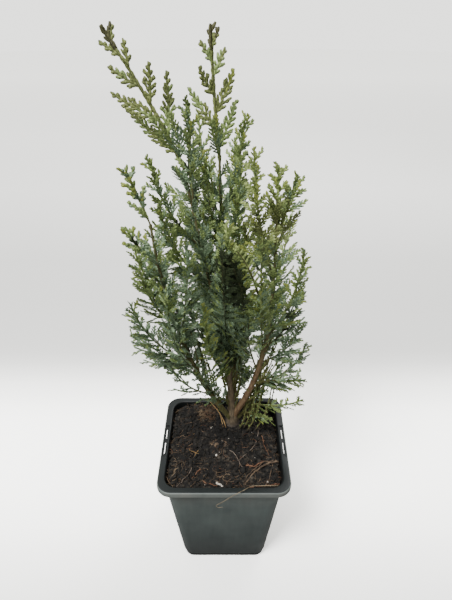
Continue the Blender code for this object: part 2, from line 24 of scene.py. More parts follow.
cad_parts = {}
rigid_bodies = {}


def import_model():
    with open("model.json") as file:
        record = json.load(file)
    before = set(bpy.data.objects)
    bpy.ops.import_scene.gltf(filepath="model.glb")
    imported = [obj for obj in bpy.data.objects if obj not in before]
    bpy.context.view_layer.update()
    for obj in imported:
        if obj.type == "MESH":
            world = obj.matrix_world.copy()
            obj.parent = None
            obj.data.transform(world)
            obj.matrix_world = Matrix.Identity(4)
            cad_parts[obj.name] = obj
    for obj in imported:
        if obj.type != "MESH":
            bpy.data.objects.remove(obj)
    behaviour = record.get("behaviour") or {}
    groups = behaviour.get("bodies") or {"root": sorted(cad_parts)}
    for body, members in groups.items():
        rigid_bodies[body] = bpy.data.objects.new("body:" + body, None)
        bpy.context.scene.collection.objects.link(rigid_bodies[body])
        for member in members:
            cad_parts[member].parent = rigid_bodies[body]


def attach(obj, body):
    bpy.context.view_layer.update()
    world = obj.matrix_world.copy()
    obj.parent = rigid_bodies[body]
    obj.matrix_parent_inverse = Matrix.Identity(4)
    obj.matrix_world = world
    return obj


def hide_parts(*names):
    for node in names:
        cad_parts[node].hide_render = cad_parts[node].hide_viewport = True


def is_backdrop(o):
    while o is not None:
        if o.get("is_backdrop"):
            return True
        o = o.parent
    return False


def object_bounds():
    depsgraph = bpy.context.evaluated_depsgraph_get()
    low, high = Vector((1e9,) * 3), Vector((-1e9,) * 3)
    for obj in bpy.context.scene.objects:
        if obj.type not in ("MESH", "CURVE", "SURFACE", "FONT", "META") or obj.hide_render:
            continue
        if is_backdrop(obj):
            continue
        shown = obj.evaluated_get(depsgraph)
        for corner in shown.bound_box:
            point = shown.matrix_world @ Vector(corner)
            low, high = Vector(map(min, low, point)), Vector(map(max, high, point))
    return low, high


MM = 0.001
BODY = "root"
UP = Vector((0.0, 0.0, 1.0))
# Heading from the plant to the viewer
FRONT = -90

Place = tuple[float, float, float]
Span = tuple[float, float]
Colour = tuple[float, float, float]
Path = list[Vector]
Ring = list[Vector]

log = logging.getLogger("cypress")


class Signal:
    """Value of a node socket. Python's operators on it add Math nodes."""

    def __init__(self, graph: Graph, socket: NodeSocket) -> None:
        """Keep the graph that nodes are added to, and the socket that gives the value."""
        self.graph = graph
        self.socket = socket

    def _maths(self, operation: str, first: Any, second: Any) -> Signal:
        """Math node with a signal or number in each of its two sockets."""
        return self.graph.node("ShaderNodeMath", {0: first, 1: second}, operation=operation)

    def __add__(self, other: Any) -> Signal:
        """Sum with a signal or number."""
        return self._maths("ADD", self, other)

    def __radd__(self, other: Any) -> Signal:
        """Sum with a number on the left."""
        return self._maths("ADD", other, self)

    def __sub__(self, other: Any) -> Signal:
        """Difference from a signal or number."""
        return self._maths("SUBTRACT", self, other)

    def __rsub__(self, other: Any) -> Signal:
        """Difference of a number on the left."""
        return self._maths("SUBTRACT", other, self)

    def __mul__(self, other: Any) -> Signal:
        """Product with a signal or number."""
        return self._maths("MULTIPLY", self, other)

    def __rmul__(self, other: Any) -> Signal:
        """Product with a number on the left."""
        return self._maths("MULTIPLY", other, self)

    def below(self, limit: float) -> Signal:
        """1 where the value is under the limit, else 0."""
        return self._maths("LESS_THAN", self, limit)


class Graph:
    """A node tree under construction, for shading or for geometry."""

    def __init__(self, tree: NodeTree) -> None:
        """Keep the tree."""
        self.tree = tree

    def feed(self, socket: NodeSocket, value: Any) -> None:
        """Give a socket its value or link."""
        if isinstance(value, Signal):
            self.tree.links.new(value.socket, socket)
        else:
            socket.default_value = value

    def node(self, kind: str, sockets: dict[Any, Any] | None = None, output: Any = 0,
             **settings: Any) -> Signal | None:
        """Add a node.

        Args:
            kind: Node type.
            sockets: Values or links of its inputs, by name or number.
            output: Name or number of the wanted output.
            settings: Its properties, set first; stops are a colour ramp's.

        Returns:
            That output, where the node has any.
        """
        made = self.tree.nodes.new(kind)
        for name, value in settings.items():
            if name != "stops":
                setattr(made, name, value)
                continue
            ramp = made.color_ramp
            while len(ramp.elements) < len(value):
                ramp.elements.new(1.0)
            for element, (place, colour) in zip(ramp.elements, value):
                element.position = place
                element.color = (*colour, 1.0)
        for name, value in (sockets or {}).items():
            self.feed(made.inputs[name], value)
        return Signal(self, made.outputs[output]) if made.outputs else None


class Surface(Graph):
    """Principled material whose patterns lie in object coordinates."""

    def __init__(self, name: str) -> None:
        """Start the material with its shader and coordinates."""
        self.material = bpy.data.materials.new(name)
        self.material.use_nodes = True
        super().__init__(self.material.node_tree)
        self.shader = self.tree.nodes["Principled BSDF"]
        self.place = self.node("ShaderNodeTexCoord", output="Object")

    def grain(self, size: float, detail: float = 2.0, stretch: Place = (1.0, 1.0, 1.0)) -> Signal:
        """Noise from 0 to 1: its blotches' size, finer layers, and repeats along each axis."""
        place = self.node("ShaderNodeVectorMath", {0: self.place, 1: stretch}, operation="MULTIPLY")
        return self.node("ShaderNodeTexNoise", {"Vector": place, "Scale": 1 / (size * MM),
                                                "Detail": detail})

    def ramp(self, amount: Signal, stops: Sequence[tuple[float, Colour]]) -> Signal:
        """Colours along a value from 0 to 1, with the place and colour of each stop."""
        return self.node("ShaderNodeValToRGB", {"Fac": amount}, stops=stops)

    def blend(self, amount: Signal, low: Any, high: Any) -> Signal:
        """Mix of two colours, from the first at 0 to the second at 1."""
        colours = [(*c, 1.0) if isinstance(c, tuple) else c for c in (low, high)]
        return self.node("ShaderNodeMix", {0: amount, 6: colours[0], 7: colours[1]}, output=2,
                         data_type="RGBA")

    def relief(self, height: Signal, depth: float, strength: float = 1.0) -> Signal:
        """Normal bumped by a pattern from 0 to 1, as deep and strong as given."""
        return self.node("ShaderNodeBump", {"Height": height, "Distance": depth * MM, "Strength": strength})

    def dress(self, colour: Signal, roughness: Any, normal: Signal | None = None,
              **constants: Any) -> Material:
        """Finish the material.

        Args:
            colour: Base colour.
            roughness: Signal or number.
            normal: Bumped normal.
            constants: Values of other sockets, with _ for a space in the name.

        Returns:
            The material.
        """
        self.feed(self.shader.inputs["Base Color"], colour)
        self.feed(self.shader.inputs["Roughness"], roughness)
        if normal is not None:
            self.feed(self.shader.inputs["Normal"], normal)
        for name, value in constants.items():
            self.shader.inputs[name.replace("_", " ")].default_value = value
        return self.material


@dataclass(frozen=True)
class LeafFinish:
    """Scale leaves of one tone: a waxy skin, finely mottled between two shades."""

    name: str
    slot: str
    dark: Colour
    light: Colour
    gloss: float = 0.30

    def material(self) -> Material:
        """Fine mottling, a slow drift of shade, and a grain like that of close-set scales."""
        surface = Surface(self.name)
        fine = surface.grain(1.1, 2.0)
        broad = surface.grain(14.0, 1.0)
        colour = surface.ramp(fine * 0.70 + broad * 0.30, ((0.40, self.dark), (0.60, self.light)))
        return surface.dress(colour, 0.50 + 0.25 * fine, surface.relief(fine, 0.12, 0.5),
                             Specular_IOR_Level=self.gloss)


@dataclass(frozen=True)
class BarkFinish:
    """Bark in long flakes: dark grooves, a main colour, and paler flakes."""

    name: str
    groove: Colour
    main: Colour
    flake: Colour
    length: float = 5.0
    young: Colour = (0.085, 0.080, 0.030)
    young_between: Span = (150.0, 185.0)
    young_drift: float = 8.0
    young_share: float = 0.8
    soiled: Colour = (0.020, 0.015, 0.011)
    soiled_below: float = 97.5
    soiled_drift: float = 5.0
    soiled_fade: float = 0.16

    def material(self) -> Material:
        """Streaks along the limb, with flakes in patches and fine grit between."""
        surface = Surface(self.name)
        streak = surface.grain(self.length, 4.0, (4.0, 4.0, 0.8))
        patch = surface.grain(9.0, 2.0, (1.0, 1.0, 0.6))
        fine = surface.grain(0.7, 2.0, (1.0, 1.0, 0.4))
        wood = surface.ramp(streak * 0.75 + fine * 0.25,
                            ((0.34, self.groove), (0.50, self.main), (0.66, self.flake)))
        tone = surface.blend(patch * 0.6, wood, self.main)
        height = surface.node("ShaderNodeSeparateXYZ", {0: surface.place}, output="Z") * (1 / MM)
        low, high = self.young_between
        young = (height + (self.young_drift * patch - low)) * (1 / (high - low)) * self.young_share
        tone = surface.blend(young, tone, self.young)
        soiled = (self.soiled_below + self.soiled_drift * patch - height) * self.soiled_fade
        tone = surface.blend(soiled, tone, self.soiled)
        return surface.dress(tone, 0.72 + 0.2 * fine, surface.relief(streak * 0.7 + fine * 0.3, 0.5, 0.8))


@dataclass(frozen=True)
class PlasticFinish:
    """Moulded pot plastic: near even in colour, softly shiny, with a little dust and with painted shade."""

    name: str
    dark: Colour
    light: Colour
    # Colour of the painted shade, which the mesh's shade attribute blends in
    deep: Colour
    dust: Colour

    def material(self) -> Material:
        """Slow clouds, faint upright drag marks, tiny specks, dust, and painted shade where the mesh says.
        """
        surface = Surface(self.name)
        cloud = surface.grain(26.0, 3.0)
        drag = surface.grain(3.0, 2.0, (1.0, 1.0, 0.12))
        fine = surface.grain(0.6, 2.0)
        film = surface.grain(9.0, 5.0)
        # The shade attribute is painted shade from the pot's mesh; under 0 it paints none and thickens the
        # dust
        shade = surface.node("ShaderNodeAttribute", output="Fac", attribute_name="shade")
        body = surface.ramp(cloud * 0.75 + drag * 0.25, ((0.35, self.dark), (0.65, self.light)))
        cells = surface.node("ShaderNodeTexVoronoi", {"Vector": surface.place, "Scale": 1 / (6.0 * MM)})
        dusty = surface.blend(cells.below(0.05) * 0.6 + film * 0.5 * (1 - shade) * (1 - shade), body,
                              self.dust)
        # Painted shade: the colour darkens towards deep as the attribute rises
        return surface.dress(surface.blend(shade, dusty, self.deep),
                             0.42 + 0.14 * film + 0.08 * fine - 0.10 * shade,
                             surface.relief(fine * 0.6 + drag * 0.4, 0.05, 0.5), Specular_IOR_Level=0.30)


@dataclass(frozen=True)
class EarthFinish:
    """Peat, fibre or grit: two or three shades dealt out by noise, with no shine."""

    name: str
    dark: Colour
    main: Colour
    light: Colour
    size: float = 1.6

    def material(self) -> Material:
        """Shades in blotches of crumb size over a broader drift, and a crumbly grain."""
        surface = Surface(self.name)
        crumb = surface.grain(self.size, 3.0)
        broad = surface.grain(self.size * 6, 2.0)
        fine = surface.grain(self.size / 4, 3.0)
        colour = surface.ramp(crumb * 0.6 + broad * 0.4,
                              ((0.38, self.dark), (0.52, self.main), (0.68, self.light)))
        return surface.dress(colour, 0.82 + 0.15 * crumb, surface.relief(fine, 0.3, 0.8),
                             Specular_IOR_Level=0.25)


class Tint(Enum):
    """Overall colour of a mass of foliage, as the frame names it."""

    LEADER = "leader"
    GREEN = "green"
    BLUE = "blue"
    PALE = "pale"
    YOUNG = "young"


class Tone(Enum):
    """Finish of a branchlet, dealt out by spray."""

    BLUE = LeafFinish("glaucous_leaf", "blue", (0.067, 0.102, 0.057), (0.248, 0.340, 0.206))
    GREEN = LeafFinish("green_leaf", "green", (0.082, 0.115, 0.037), (0.265, 0.345, 0.118))
    OLIVE = LeafFinish("olive_leaf", "leader", (0.064, 0.078, 0.024), (0.185, 0.215, 0.070))
    FRESH = LeafFinish("fresh_leaf", "green", (0.140, 0.175, 0.034), (0.270, 0.310, 0.072))
    PALE = LeafFinish("pale_leaf", "pale", (0.140, 0.190, 0.055), (0.330, 0.400, 0.140))
    BROWN = LeafFinish("brown_tip", "leader", (0.026, 0.026, 0.010), (0.084, 0.083, 0.034))
    # Painted shade, partly also the darker older growth: a dark copy of the leaf for branchlets deep in the
    # crown
    SHADE = LeafFinish("inner_leaf", "green", (0.014, 0.022, 0.008), (0.045, 0.064, 0.024))
    # Painted shade: a near black leaf for the darkest gap in the crown
    DEEP = LeafFinish("deep_leaf", "green", (0.004, 0.007, 0.003), (0.014, 0.021, 0.009))


class Section(Enum):
    """Part of the crown that a piece of foliage belongs to."""

    MIDDLE = "middle"
    LEFT = "left"
    RIGHT = "right"
    LOW = "low"
    BACK = "back"


def place_object(name: str, data: Any, place: Place = (0.0, 0.0, 0.0)) -> Object:
    """Add an object to the scene, with its data and its place in millimetres."""
    made = bpy.data.objects.new(name, data)
    made.location = Vector(place) * MM
    bpy.context.scene.collection.objects.link(made)
    return made


@dataclass
class Shape:
    """Points in millimetres and faces of a mesh, which other shapes can be added to."""

    points: list[Vector] = field(default_factory=list)
    faces: list[tuple[int, ...]] = field(default_factory=list)

    def add(self, other: Shape) -> None:
        """Take in another shape."""
        first = len(self.points)
        self.points.extend(other.points)
        self.faces.extend(tuple(first + i for i in face) for face in other.faces)

    def piece(self, name: str, finish: Material | None = None, smooth_below: float | None = 60.0) -> Object:
        """Make an object.

        Args:
            name: Its name.
            finish: Its material.
            smooth_below: Angle under which faces blend, or None for flat faces.

        Returns:
            The object, at the origin.
        """
        mesh = bpy.data.meshes.new(name)
        mesh.from_pydata([tuple(p * MM for p in point) for point in self.points], [], self.faces)
        mesh.validate()
        if finish:
            mesh.materials.append(finish)
        if smooth_below:
            mesh.shade_smooth()
            mesh.set_sharp_from_angle(angle=math.radians(smooth_below))
        return place_object(name, mesh)


def loft(rings: Sequence[Ring], cap_foot: bool = True, cap_top: bool = True) -> Shape:
    """Skin over rings of equal count.

    Args:
        rings: Rings of points, anticlockwise seen from the last ring.
        cap_foot: Whether the first ring is closed.
        cap_top: Whether the last ring is closed.

    Returns:
        The shape.
    """
    count = len(rings[0])
    faces: list[tuple[int, ...]] = []
    for level in range(len(rings) - 1):
        low = level * count
        for i in range(count):
            j = (i + 1) % count
            faces.append((low + i, low + j, low + count + j, low + count + i))
    if cap_foot:
        faces.append(tuple(reversed(range(count))))
    if cap_top:
        top = (len(rings) - 1) * count
        faces.append(tuple(range(top, top + count)))
    return Shape([Vector(point) for ring in rings for point in ring], faces)


def rounded_square(half: float, corner: float, z: float, steps: int) -> Ring:
    """Ring round a square with rounded corners.

    Args:
        half: Half its width.
        corner: Radius of its corners.
        z: Its height.
        steps: Faces in each corner.

    Returns:
        Points, anticlockwise from above.
    """
    ring = []
    for quadrant in range(4):
        start = quadrant * math.pi / 2
        diagonal = start + math.pi / 4
        reach = (half - corner) * math.sqrt(2)
        for step in range(steps + 1):
            angle = start + step / steps * math.pi / 2
            ring.append(Vector((reach * math.cos(diagonal) + corner * math.cos(angle),
                                reach * math.sin(diagonal) + corner * math.sin(angle), z)))
    return ring


def refined(points: Path, per_step: int) -> Path:
    """Smooth curve through a path.

    Args:
        points: The path.
        per_step: New steps in each old one.

    Returns:
        The finer path, through the same points.
    """
    ends = [points[0] * 2 - points[1], *points, points[-1] * 2 - points[-2]]
    finer = []
    for before, start, end, after in zip(ends, ends[1:], ends[2:], ends[3:]):
        for step in range(per_step):
            t = step / per_step
            finer.append((start * 2 + (end - before) * t
                          + (before * 2 - start * 5 + end * 4 - after) * t ** 2
                          + (start * 3 - before - end * 3 + after) * t ** 3) / 2)
    return finer + [points[-1].copy()]


def point_at(points: Path, share: float) -> tuple[Vector, Vector]:
    """Place on a path of even steps.

    Args:
        points: The path.
        share: Share of its length.

    Returns:
        Point and direction there.
    """
    place = share * (len(points) - 1)
    index = min(int(place), len(points) - 2)
    ahead = points[index + 1] - points[index]
    return points[index] + ahead * (place - index), ahead.normalized()


def path_length(points: Path) -> float:
    """Length of a path."""
    return sum((after - before).length for before, after in zip(points, points[1:]))


def square_to(flat: Vector, ahead: Vector) -> Vector:
    """Unit vector square to the second, as near to the first as it can be."""
    return (flat - ahead * flat.dot(ahead)).normalized()


def chord(points: Path) -> Vector:
    """Direction from a path's start to its end."""
    return (points[-1] - points[0]).normalized()


def sway(chance: random.Random, most: float) -> float:
    """Random draw as far as given to either side of 0."""
    return chance.uniform(-most, most)


def in_turn(start: float, end: float, side: int, step: Callable[[], float]) -> Iterator[tuple[float, int]]:
    """Places along a stem, on one side and the other in turn."""
    while start < end:
        yield start, side
        side = -side
        start += step()


def tube(points: Path, radius: Callable[[float], float], sides: int,
         relief: Callable[[Vector], float] | None = None) -> Shape:
    """Round closed tube along a path.

    Args:
        points: The path.
        radius: Radius at a share of the path.
        sides: Sides of the tube.
        relief: Extra radius at a point.

    Returns:
        The tube, with flat ends.
    """
    rings = []
    ahead = (points[1] - points[0]).normalized()
    across = ahead.cross(Vector((0.0, 1.0, 0.2))).normalized()
    for i, point in enumerate(points):
        ahead = (points[min(i + 1, len(points) - 1)] - points[max(i - 1, 0)]).normalized()
        across = square_to(across, ahead)
        side = ahead.cross(across)
        size = radius(i / (len(points) - 1))
        ring = []
        for k in range(sides):
            angle = math.tau * k / sides
            out = across * math.cos(angle) + side * math.sin(angle)
            extra = relief(point + out * size) if relief else 0.0
            ring.append(point + out * (size + extra))
        rings.append(ring)
    return loft(rings)


def heading_vector(heading: float, rise: float = 0.0) -> Vector:
    """Unit vector from a heading and a rise."""
    a = math.radians(heading)
    b = math.radians(rise)
    return Vector((math.cos(a) * math.cos(b), math.sin(a) * math.cos(b), math.sin(b)))


def use_tree(target: Object, tree: NodeTree, inputs: dict[str, Any]) -> None:
    """Run a geometry tree on an object for good.

    Args:
        target: The object, whose mesh becomes the result.
        tree: The tree.
        inputs: Values of the tree's named inputs.
    """
    modifier = target.modifiers.new(tree.name, "NODES")
    modifier.node_group = tree
    for item in tree.interface.items_tree:
        if item.item_type == "SOCKET" and item.in_out == "INPUT" and item.name in inputs:
            modifier[item.identifier] = inputs[item.name]
    apply_modifiers(target)


def apply_modifiers(target: Object) -> None:
    """Turn an object's evaluated shape into its plain mesh."""
    bpy.context.view_layer.update()
    evaluated = target.evaluated_get(bpy.context.evaluated_depsgraph_get())
    result = bpy.data.meshes.new_from_object(evaluated)
    target.modifiers.clear()
    before = target.data
    target.data = result
    bpy.data.meshes.remove(before)
    result.name = target.name


def discard(*things: Object) -> None:
    """Take objects and their meshes out of the file."""
    for thing in things:
        mesh = thing.data
        bpy.data.objects.remove(thing)
        bpy.data.meshes.remove(mesh)


def new_tree(name: str, inputs: Sequence[tuple[str, str, Any]]) -> tuple[Graph, dict[str, Signal]]:
    """Start a geometry tree with named inputs.

    Args:
        name: The tree's name.
        inputs: Name, kind and value of each input after the geometry.

    Returns:
        The graph, and its inputs by name.
    """
    tree = bpy.data.node_groups.new(name, "GeometryNodeTree")
    tree.interface.new_socket("Geometry", in_out="INPUT", socket_type="NodeSocketGeometry")
    tree.interface.new_socket("Geometry", in_out="OUTPUT", socket_type="NodeSocketGeometry")
    for label, kind, value in inputs:
        socket = tree.interface.new_socket(label, in_out="INPUT", socket_type=f"NodeSocket{kind}")
        if value is not None:
            socket.default_value = value
    graph = Graph(tree)
    given = graph.node("NodeGroupInput").socket.node.outputs
    return graph, {socket.name: Signal(graph, socket) for socket in given if socket.name}


def end_tree(graph: Graph, geometry: Signal, finish: Signal) -> None:
    """Realize the instances, set their material and put them out."""
    real = graph.node("GeometryNodeRealizeInstances", {"Geometry": geometry})
    dressed = graph.node("GeometryNodeSetMaterial", {"Geometry": real, "Material": finish})
    graph.node("NodeGroupOutput", {"Geometry": dressed})


def dress_piece(piece: Object, slot: str, nodes: Sequence[str] = ()) -> Object:
    """Tie a finished piece to the frame.

    Args:
        piece: The piece.
        slot: Material slot of the record; not used.
        nodes: Frame nodes that it stands for.

    Returns:
        The piece.
    """
    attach(piece, BODY)
    if nodes:
        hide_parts(*nodes)
    return piece


class Limb(NamedTuple):
    """A woody limb: where it leaves its parent, how it bends and how it tapers."""

    name: str
    parent: str
    at: float
    heading: float
    turn: float
    rise: float
    tip_rise: float
    length: float
    radius: float
    tip_radius: float
    taper: float


class Mass(NamedTuple):
    """A mass of foliage: its stem's place and bend, and how its sprays spread."""

    name: str
    parent: str
    at: float
    heading: float
    rise: float
    tip_rise: float
    length: float
    reach: float
    roll: float
    tint: Tint = Tint.BLUE
    facing: float = FRONT
    turn: float = 0.0


LIMBS = (
    Limb("trunk", "", 0.0, -120, -132, 86, 88, 201, 4.1, 1.0, 3.2),
    Limb("right_bough", "trunk", 0.12, -27, -48, 64, 94, 160, 2.4, 1.0, 1.0),
    Limb("left_bough", "trunk", 0.08, -146, -11, 60, 86, 180, 2.0, 0.9, 1.0),
    Limb("left_leader", "trunk", 0.33, -142, -33, 79, 80, 150, 1.5, 0.9, 1.0),
    Limb("back_bough", "trunk", 0.1, 80, 10, 64, 88, 146, 1.9, 0.9, 1.0),
    Limb("low_shoot", "trunk", 0.05, 3, -10, 48, 82, 43, 1.5, 1.1, 1.0),
)

MASSES = (
    Mass("left_leader_top", "left_leader", 1, -168, 67, 57, 75, 30, 25, Tint.LEADER),
    Mass("right_leader_top", "trunk", 1, -129, 82, 87, 65, 28, 30, Tint.LEADER),
    Mass("right_top_fan", "right_bough", 1, -17, 72, 80, 37, 24, 30, Tint.GREEN),
    Mass("left_bough_top", "left_bough", 1, -166, 73, 71, 32, 15, 15, Tint.LEADER),
    Mass("middle_spray", "left_leader", 0.82, -92, 81, 85, 60, 20, 20, Tint.GREEN),
    Mass("leader_right_spray", "trunk", 0.86, 17, 67, 88, 57, 17, 20, Tint.GREEN),
    Mass("leader_left_upper", "left_leader", 0.68, -161, 46, 85, 60, 22, 20, Tint.GREEN),
    Mass("leader_left_lower", "left_leader", 0.5, -145, 46, 80, 67, 22, 25, facing=-70),
    Mass("pale_top_spray", "right_bough", 0.84, -148, 69, 88, 77, 24, 25, Tint.PALE),
    Mass("pale_frond", "right_bough", 0.65, -141, 45, 87, 83, 24, 20, Tint.PALE),
    Mass("pale_side_spray", "right_bough", 0.93, -105, 83, 87, 53, 18, 30, Tint.PALE, -115),
    Mass("front_right_spray", "right_bough", 0.48, -102, 60, 86, 100, 20, 35, Tint.GREEN, -62),
    Mass("right_middle_fan", "right_bough", 0.5, 1, 47, 87, 50, 18, 20, facing=-70),
    Mass("right_outer_fan", "right_bough", 0.56, -31, 62, 88, 70, 22, 20, Tint.GREEN),
    Mass("right_outer_low", "right_bough", 0.42, -14, 32, 86, 44, 20, 20),
    Mass("right_low_twig", "right_bough", 0.27, -17, 24, 83, 57, 14, 10),
    Mass("left_fan_upper", "left_bough", 0.86, 178, 44, 69, 28, 16, 15, Tint.LEADER),
    Mass("left_fan_middle", "left_bough", 0.75, -144, 48, 85, 39, 20, 20, Tint.GREEN),
    Mass("left_fan_lower", "left_bough", 0.62, -127, 48, 82, 56, 24, 20),
    Mass("left_low_spray", "left_bough", 0.43, -153, 38, 79, 68, 25, 20),
    Mass("left_low_under", "left_bough", 0.36, -179, 24, 57, 57, 16, 15),
    Mass("left_basal_spray", "left_bough", 0.22, -157, 34, 76, 50, 12, 20),
    Mass("front_left_spray", "left_bough", 0.58, -74, 44, 86, 90, 25, 35, facing=-58),
    Mass("front_centre_spray", "trunk", 0.5, -93, 40, 84, 103, 27, 35, facing=-122),
    Mass("front_low_tuft", "trunk", 0.34, -108, 36, 86, 97, 22, 35, Tint.LEADER, -60),
    Mass("front_low_left", "left_bough", 0.4, -106, 44, 87, 92, 22, 35, facing=-120),
    Mass("upper_centre_spray", "trunk", 0.66, -63, 68, 86, 80, 22, 30, facing=-65),
    Mass("leader_left_fill", "trunk", 0.74, -126, 68, 86, 64, 20, 30, facing=-118),
    Mass("middle_back_spray", "trunk", 0.84, 140, 64, 87, 59, 22, 25, Tint.GREEN, 120),
    Mass("right_back_spray", "right_bough", 0.78, 68, 34, 75, 49, 24, 30, Tint.GREEN, 45),
    Mass("inner_right_spray", "right_bough", 0.36, -135, 69, 87, 84, 20, 35, facing=-125),
    Mass("centre_back_spray", "trunk", 0.6, 60, 32, 88, 54, 26, 35, facing=25),
    Mass("low_right_fan", "low_shoot", 1, -23, 30, 18, 39, 22, 20, Tint.GREEN),
    Mass("low_right_upright", "low_shoot", 0.72, 12, 52, 57, 39, 14, 15, Tint.GREEN, -70),
    Mass("low_right_front", "low_shoot", 0.55, -29, 12, 46, 46, 16, 30, Tint.GREEN),
    Mass("low_front_tuft", "low_shoot", 0.32, -42, 20, 21, 28, 15, 30, Tint.GREEN),
    Mass("low_shoot_spray", "low_shoot", 0.62, -53, 50, 62, 29, 14, 30, Tint.GREEN),
    Mass("trunk_low_left", "trunk", 0.19, -137, 44, 87, 61, 16, 35, facing=-70),
    Mass("back_top", "back_bough", 1, 120, 80, 86, 58, 30, 30, Tint.GREEN, 60),
    Mass("back_left_upper", "back_bough", 0.72, 168, 38, 72, 62, 26, 30, facing=125),
    Mass("back_right_upper", "back_bough", 0.78, 20, 38, 70, 56, 26, 30, Tint.GREEN, 50),
    Mass("back_left_lower", "back_bough", 0.42, 160, 30, 60, 62, 26, 30, facing=95),
    Mass("back_right_lower", "back_bough", 0.46, 14, 30, 62, 56, 24, 30, facing=75),
    Mass("trunk_back_upper", "trunk", 0.7, 95, 60, 86, 60, 24, 30, Tint.GREEN, 170),
    Mass("trunk_back_middle", "trunk", 0.44, 125, 48, 80, 62, 24, 30, facing=30),
    Mass("leader_back_spray", "left_leader", 0.6, 115, 54, 86, 62, 22, 30, Tint.GREEN, 150),
    Mass("left_back_spray", "left_bough", 0.55, 125, 36, 78, 62, 24, 30, facing=75),
    Mass("right_back_low", "right_bough", 0.36, 58, 36, 76, 54, 22, 30, facing=100),
    Mass("back_low_spray", "back_bough", 0.3, 86, 30, 70, 60, 24, 35, facing=40),
)

# Sprays that fill gaps between the frame's masses
FILLS = (
    Mass("left_gap_spray", "left_leader", 0.06, 176, 42, 86, 56, 20, 25),
    Mass("right_gap_spray", "trunk", 0.46, 10, 36, 86, 52, 20, 30),
    Mass("back_gap_spray", "back_bough", 0.20, -80, 46, 84, 62, 24, 30, facing=8),
    Mass("back_gap_upper", "back_bough", 0.50, -85, 44, 86, 60, 24, 30, facing=172),
    Mass("back_side_spray", "back_bough", 0.14, 96, 36, 84, 56, 24, 30, facing=172),
    Mass("back_outer_spray", "back_bough", 0.56, 92, 40, 86, 60, 24, 30, Tint.GREEN, 8),
    Mass("rear_low_spray", "trunk", 0.34, 95, 34, 80, 60, 26, 30, facing=8),
    Mass("rear_middle_spray", "trunk", 0.50, 82, 34, 82, 58, 26, 30, facing=172),
    Mass("rear_upper_spray", "trunk", 0.68, 94, 38, 84, 50, 24, 30, Tint.GREEN, 8),
    Mass("rear_leader_spray", "left_leader", 0.24, 74, 36, 82, 56, 24, 30, facing=172),
    Mass("rear_inner_spray", "back_bough", 0.35, -96, 34, 82, 60, 26, 30, facing=172),
    Mass("rear_top_spray", "back_bough", 0.68, -88, 42, 84, 50, 22, 30, Tint.GREEN, 8),
)


class Fork(NamedTuple):
    """Where a cord leaves its carrier: the place, the carrier's way, and the spray's plane."""

    root: Vector
    ahead: Vector
    across: Vector
    flat: Vector = UP

    @classmethod
    def on(cls, path: Path, share: float, flat: Vector, side: int) -> Fork:
        """Fork in a spray of known plane, to the side 1 or -1 of its carrier's path."""
        root, ahead = point_at(path, share)
        return cls(root, ahead, flat.cross(ahead) * side, flat)

    @classmethod
    def facing(cls, path: Path, share: float, heading: float, side: int) -> Fork:
        """Fork in a spray that faces a heading, the rest as in the method on."""
        _, ahead = point_at(path, share)
        return cls.on(path, share, square_to(heading_vector(heading), ahead), side)

    def curve(self, reach: float, angle: float, curl: float, steps: int, bow: float = 0.0) -> Path:
        """Path of a cord that curls back towards its carrier's line.

        Args:
            reach: Its length.
            angle: Angle that it leaves at.
            curl: How far it curls back.
            steps: Steps of its path.
            bow: How far it bends out of the plane.

        Returns:
            The path.
        """
        points = [self.root.copy()]
        for i in range(steps):
            share = i / steps
            turned = math.radians(angle - curl * share)
            onward = self.ahead * math.cos(turned) + self.across * math.sin(turned)
            onward += self.flat * bow * share
            points.append(points[-1] + onward.normalized() * reach / steps)
        return points


class Twig(NamedTuple):
    """A twig: how far up its stem it leaves, where, and how far it reaches."""

    share: float
    fork: Fork
    reach: float

    def moved(self, line: Path, share: float) -> Twig:
        """The same twig at another share of its stem's line, on the same side."""
        root, ahead, across, flat = self.fork
        side = 1 if across.dot(flat.cross(ahead)) > 0 else -1
        flat = square_to(flat, point_at(line, share)[1])
        return Twig(share, Fork.on(line, share, flat, side), self.reach)


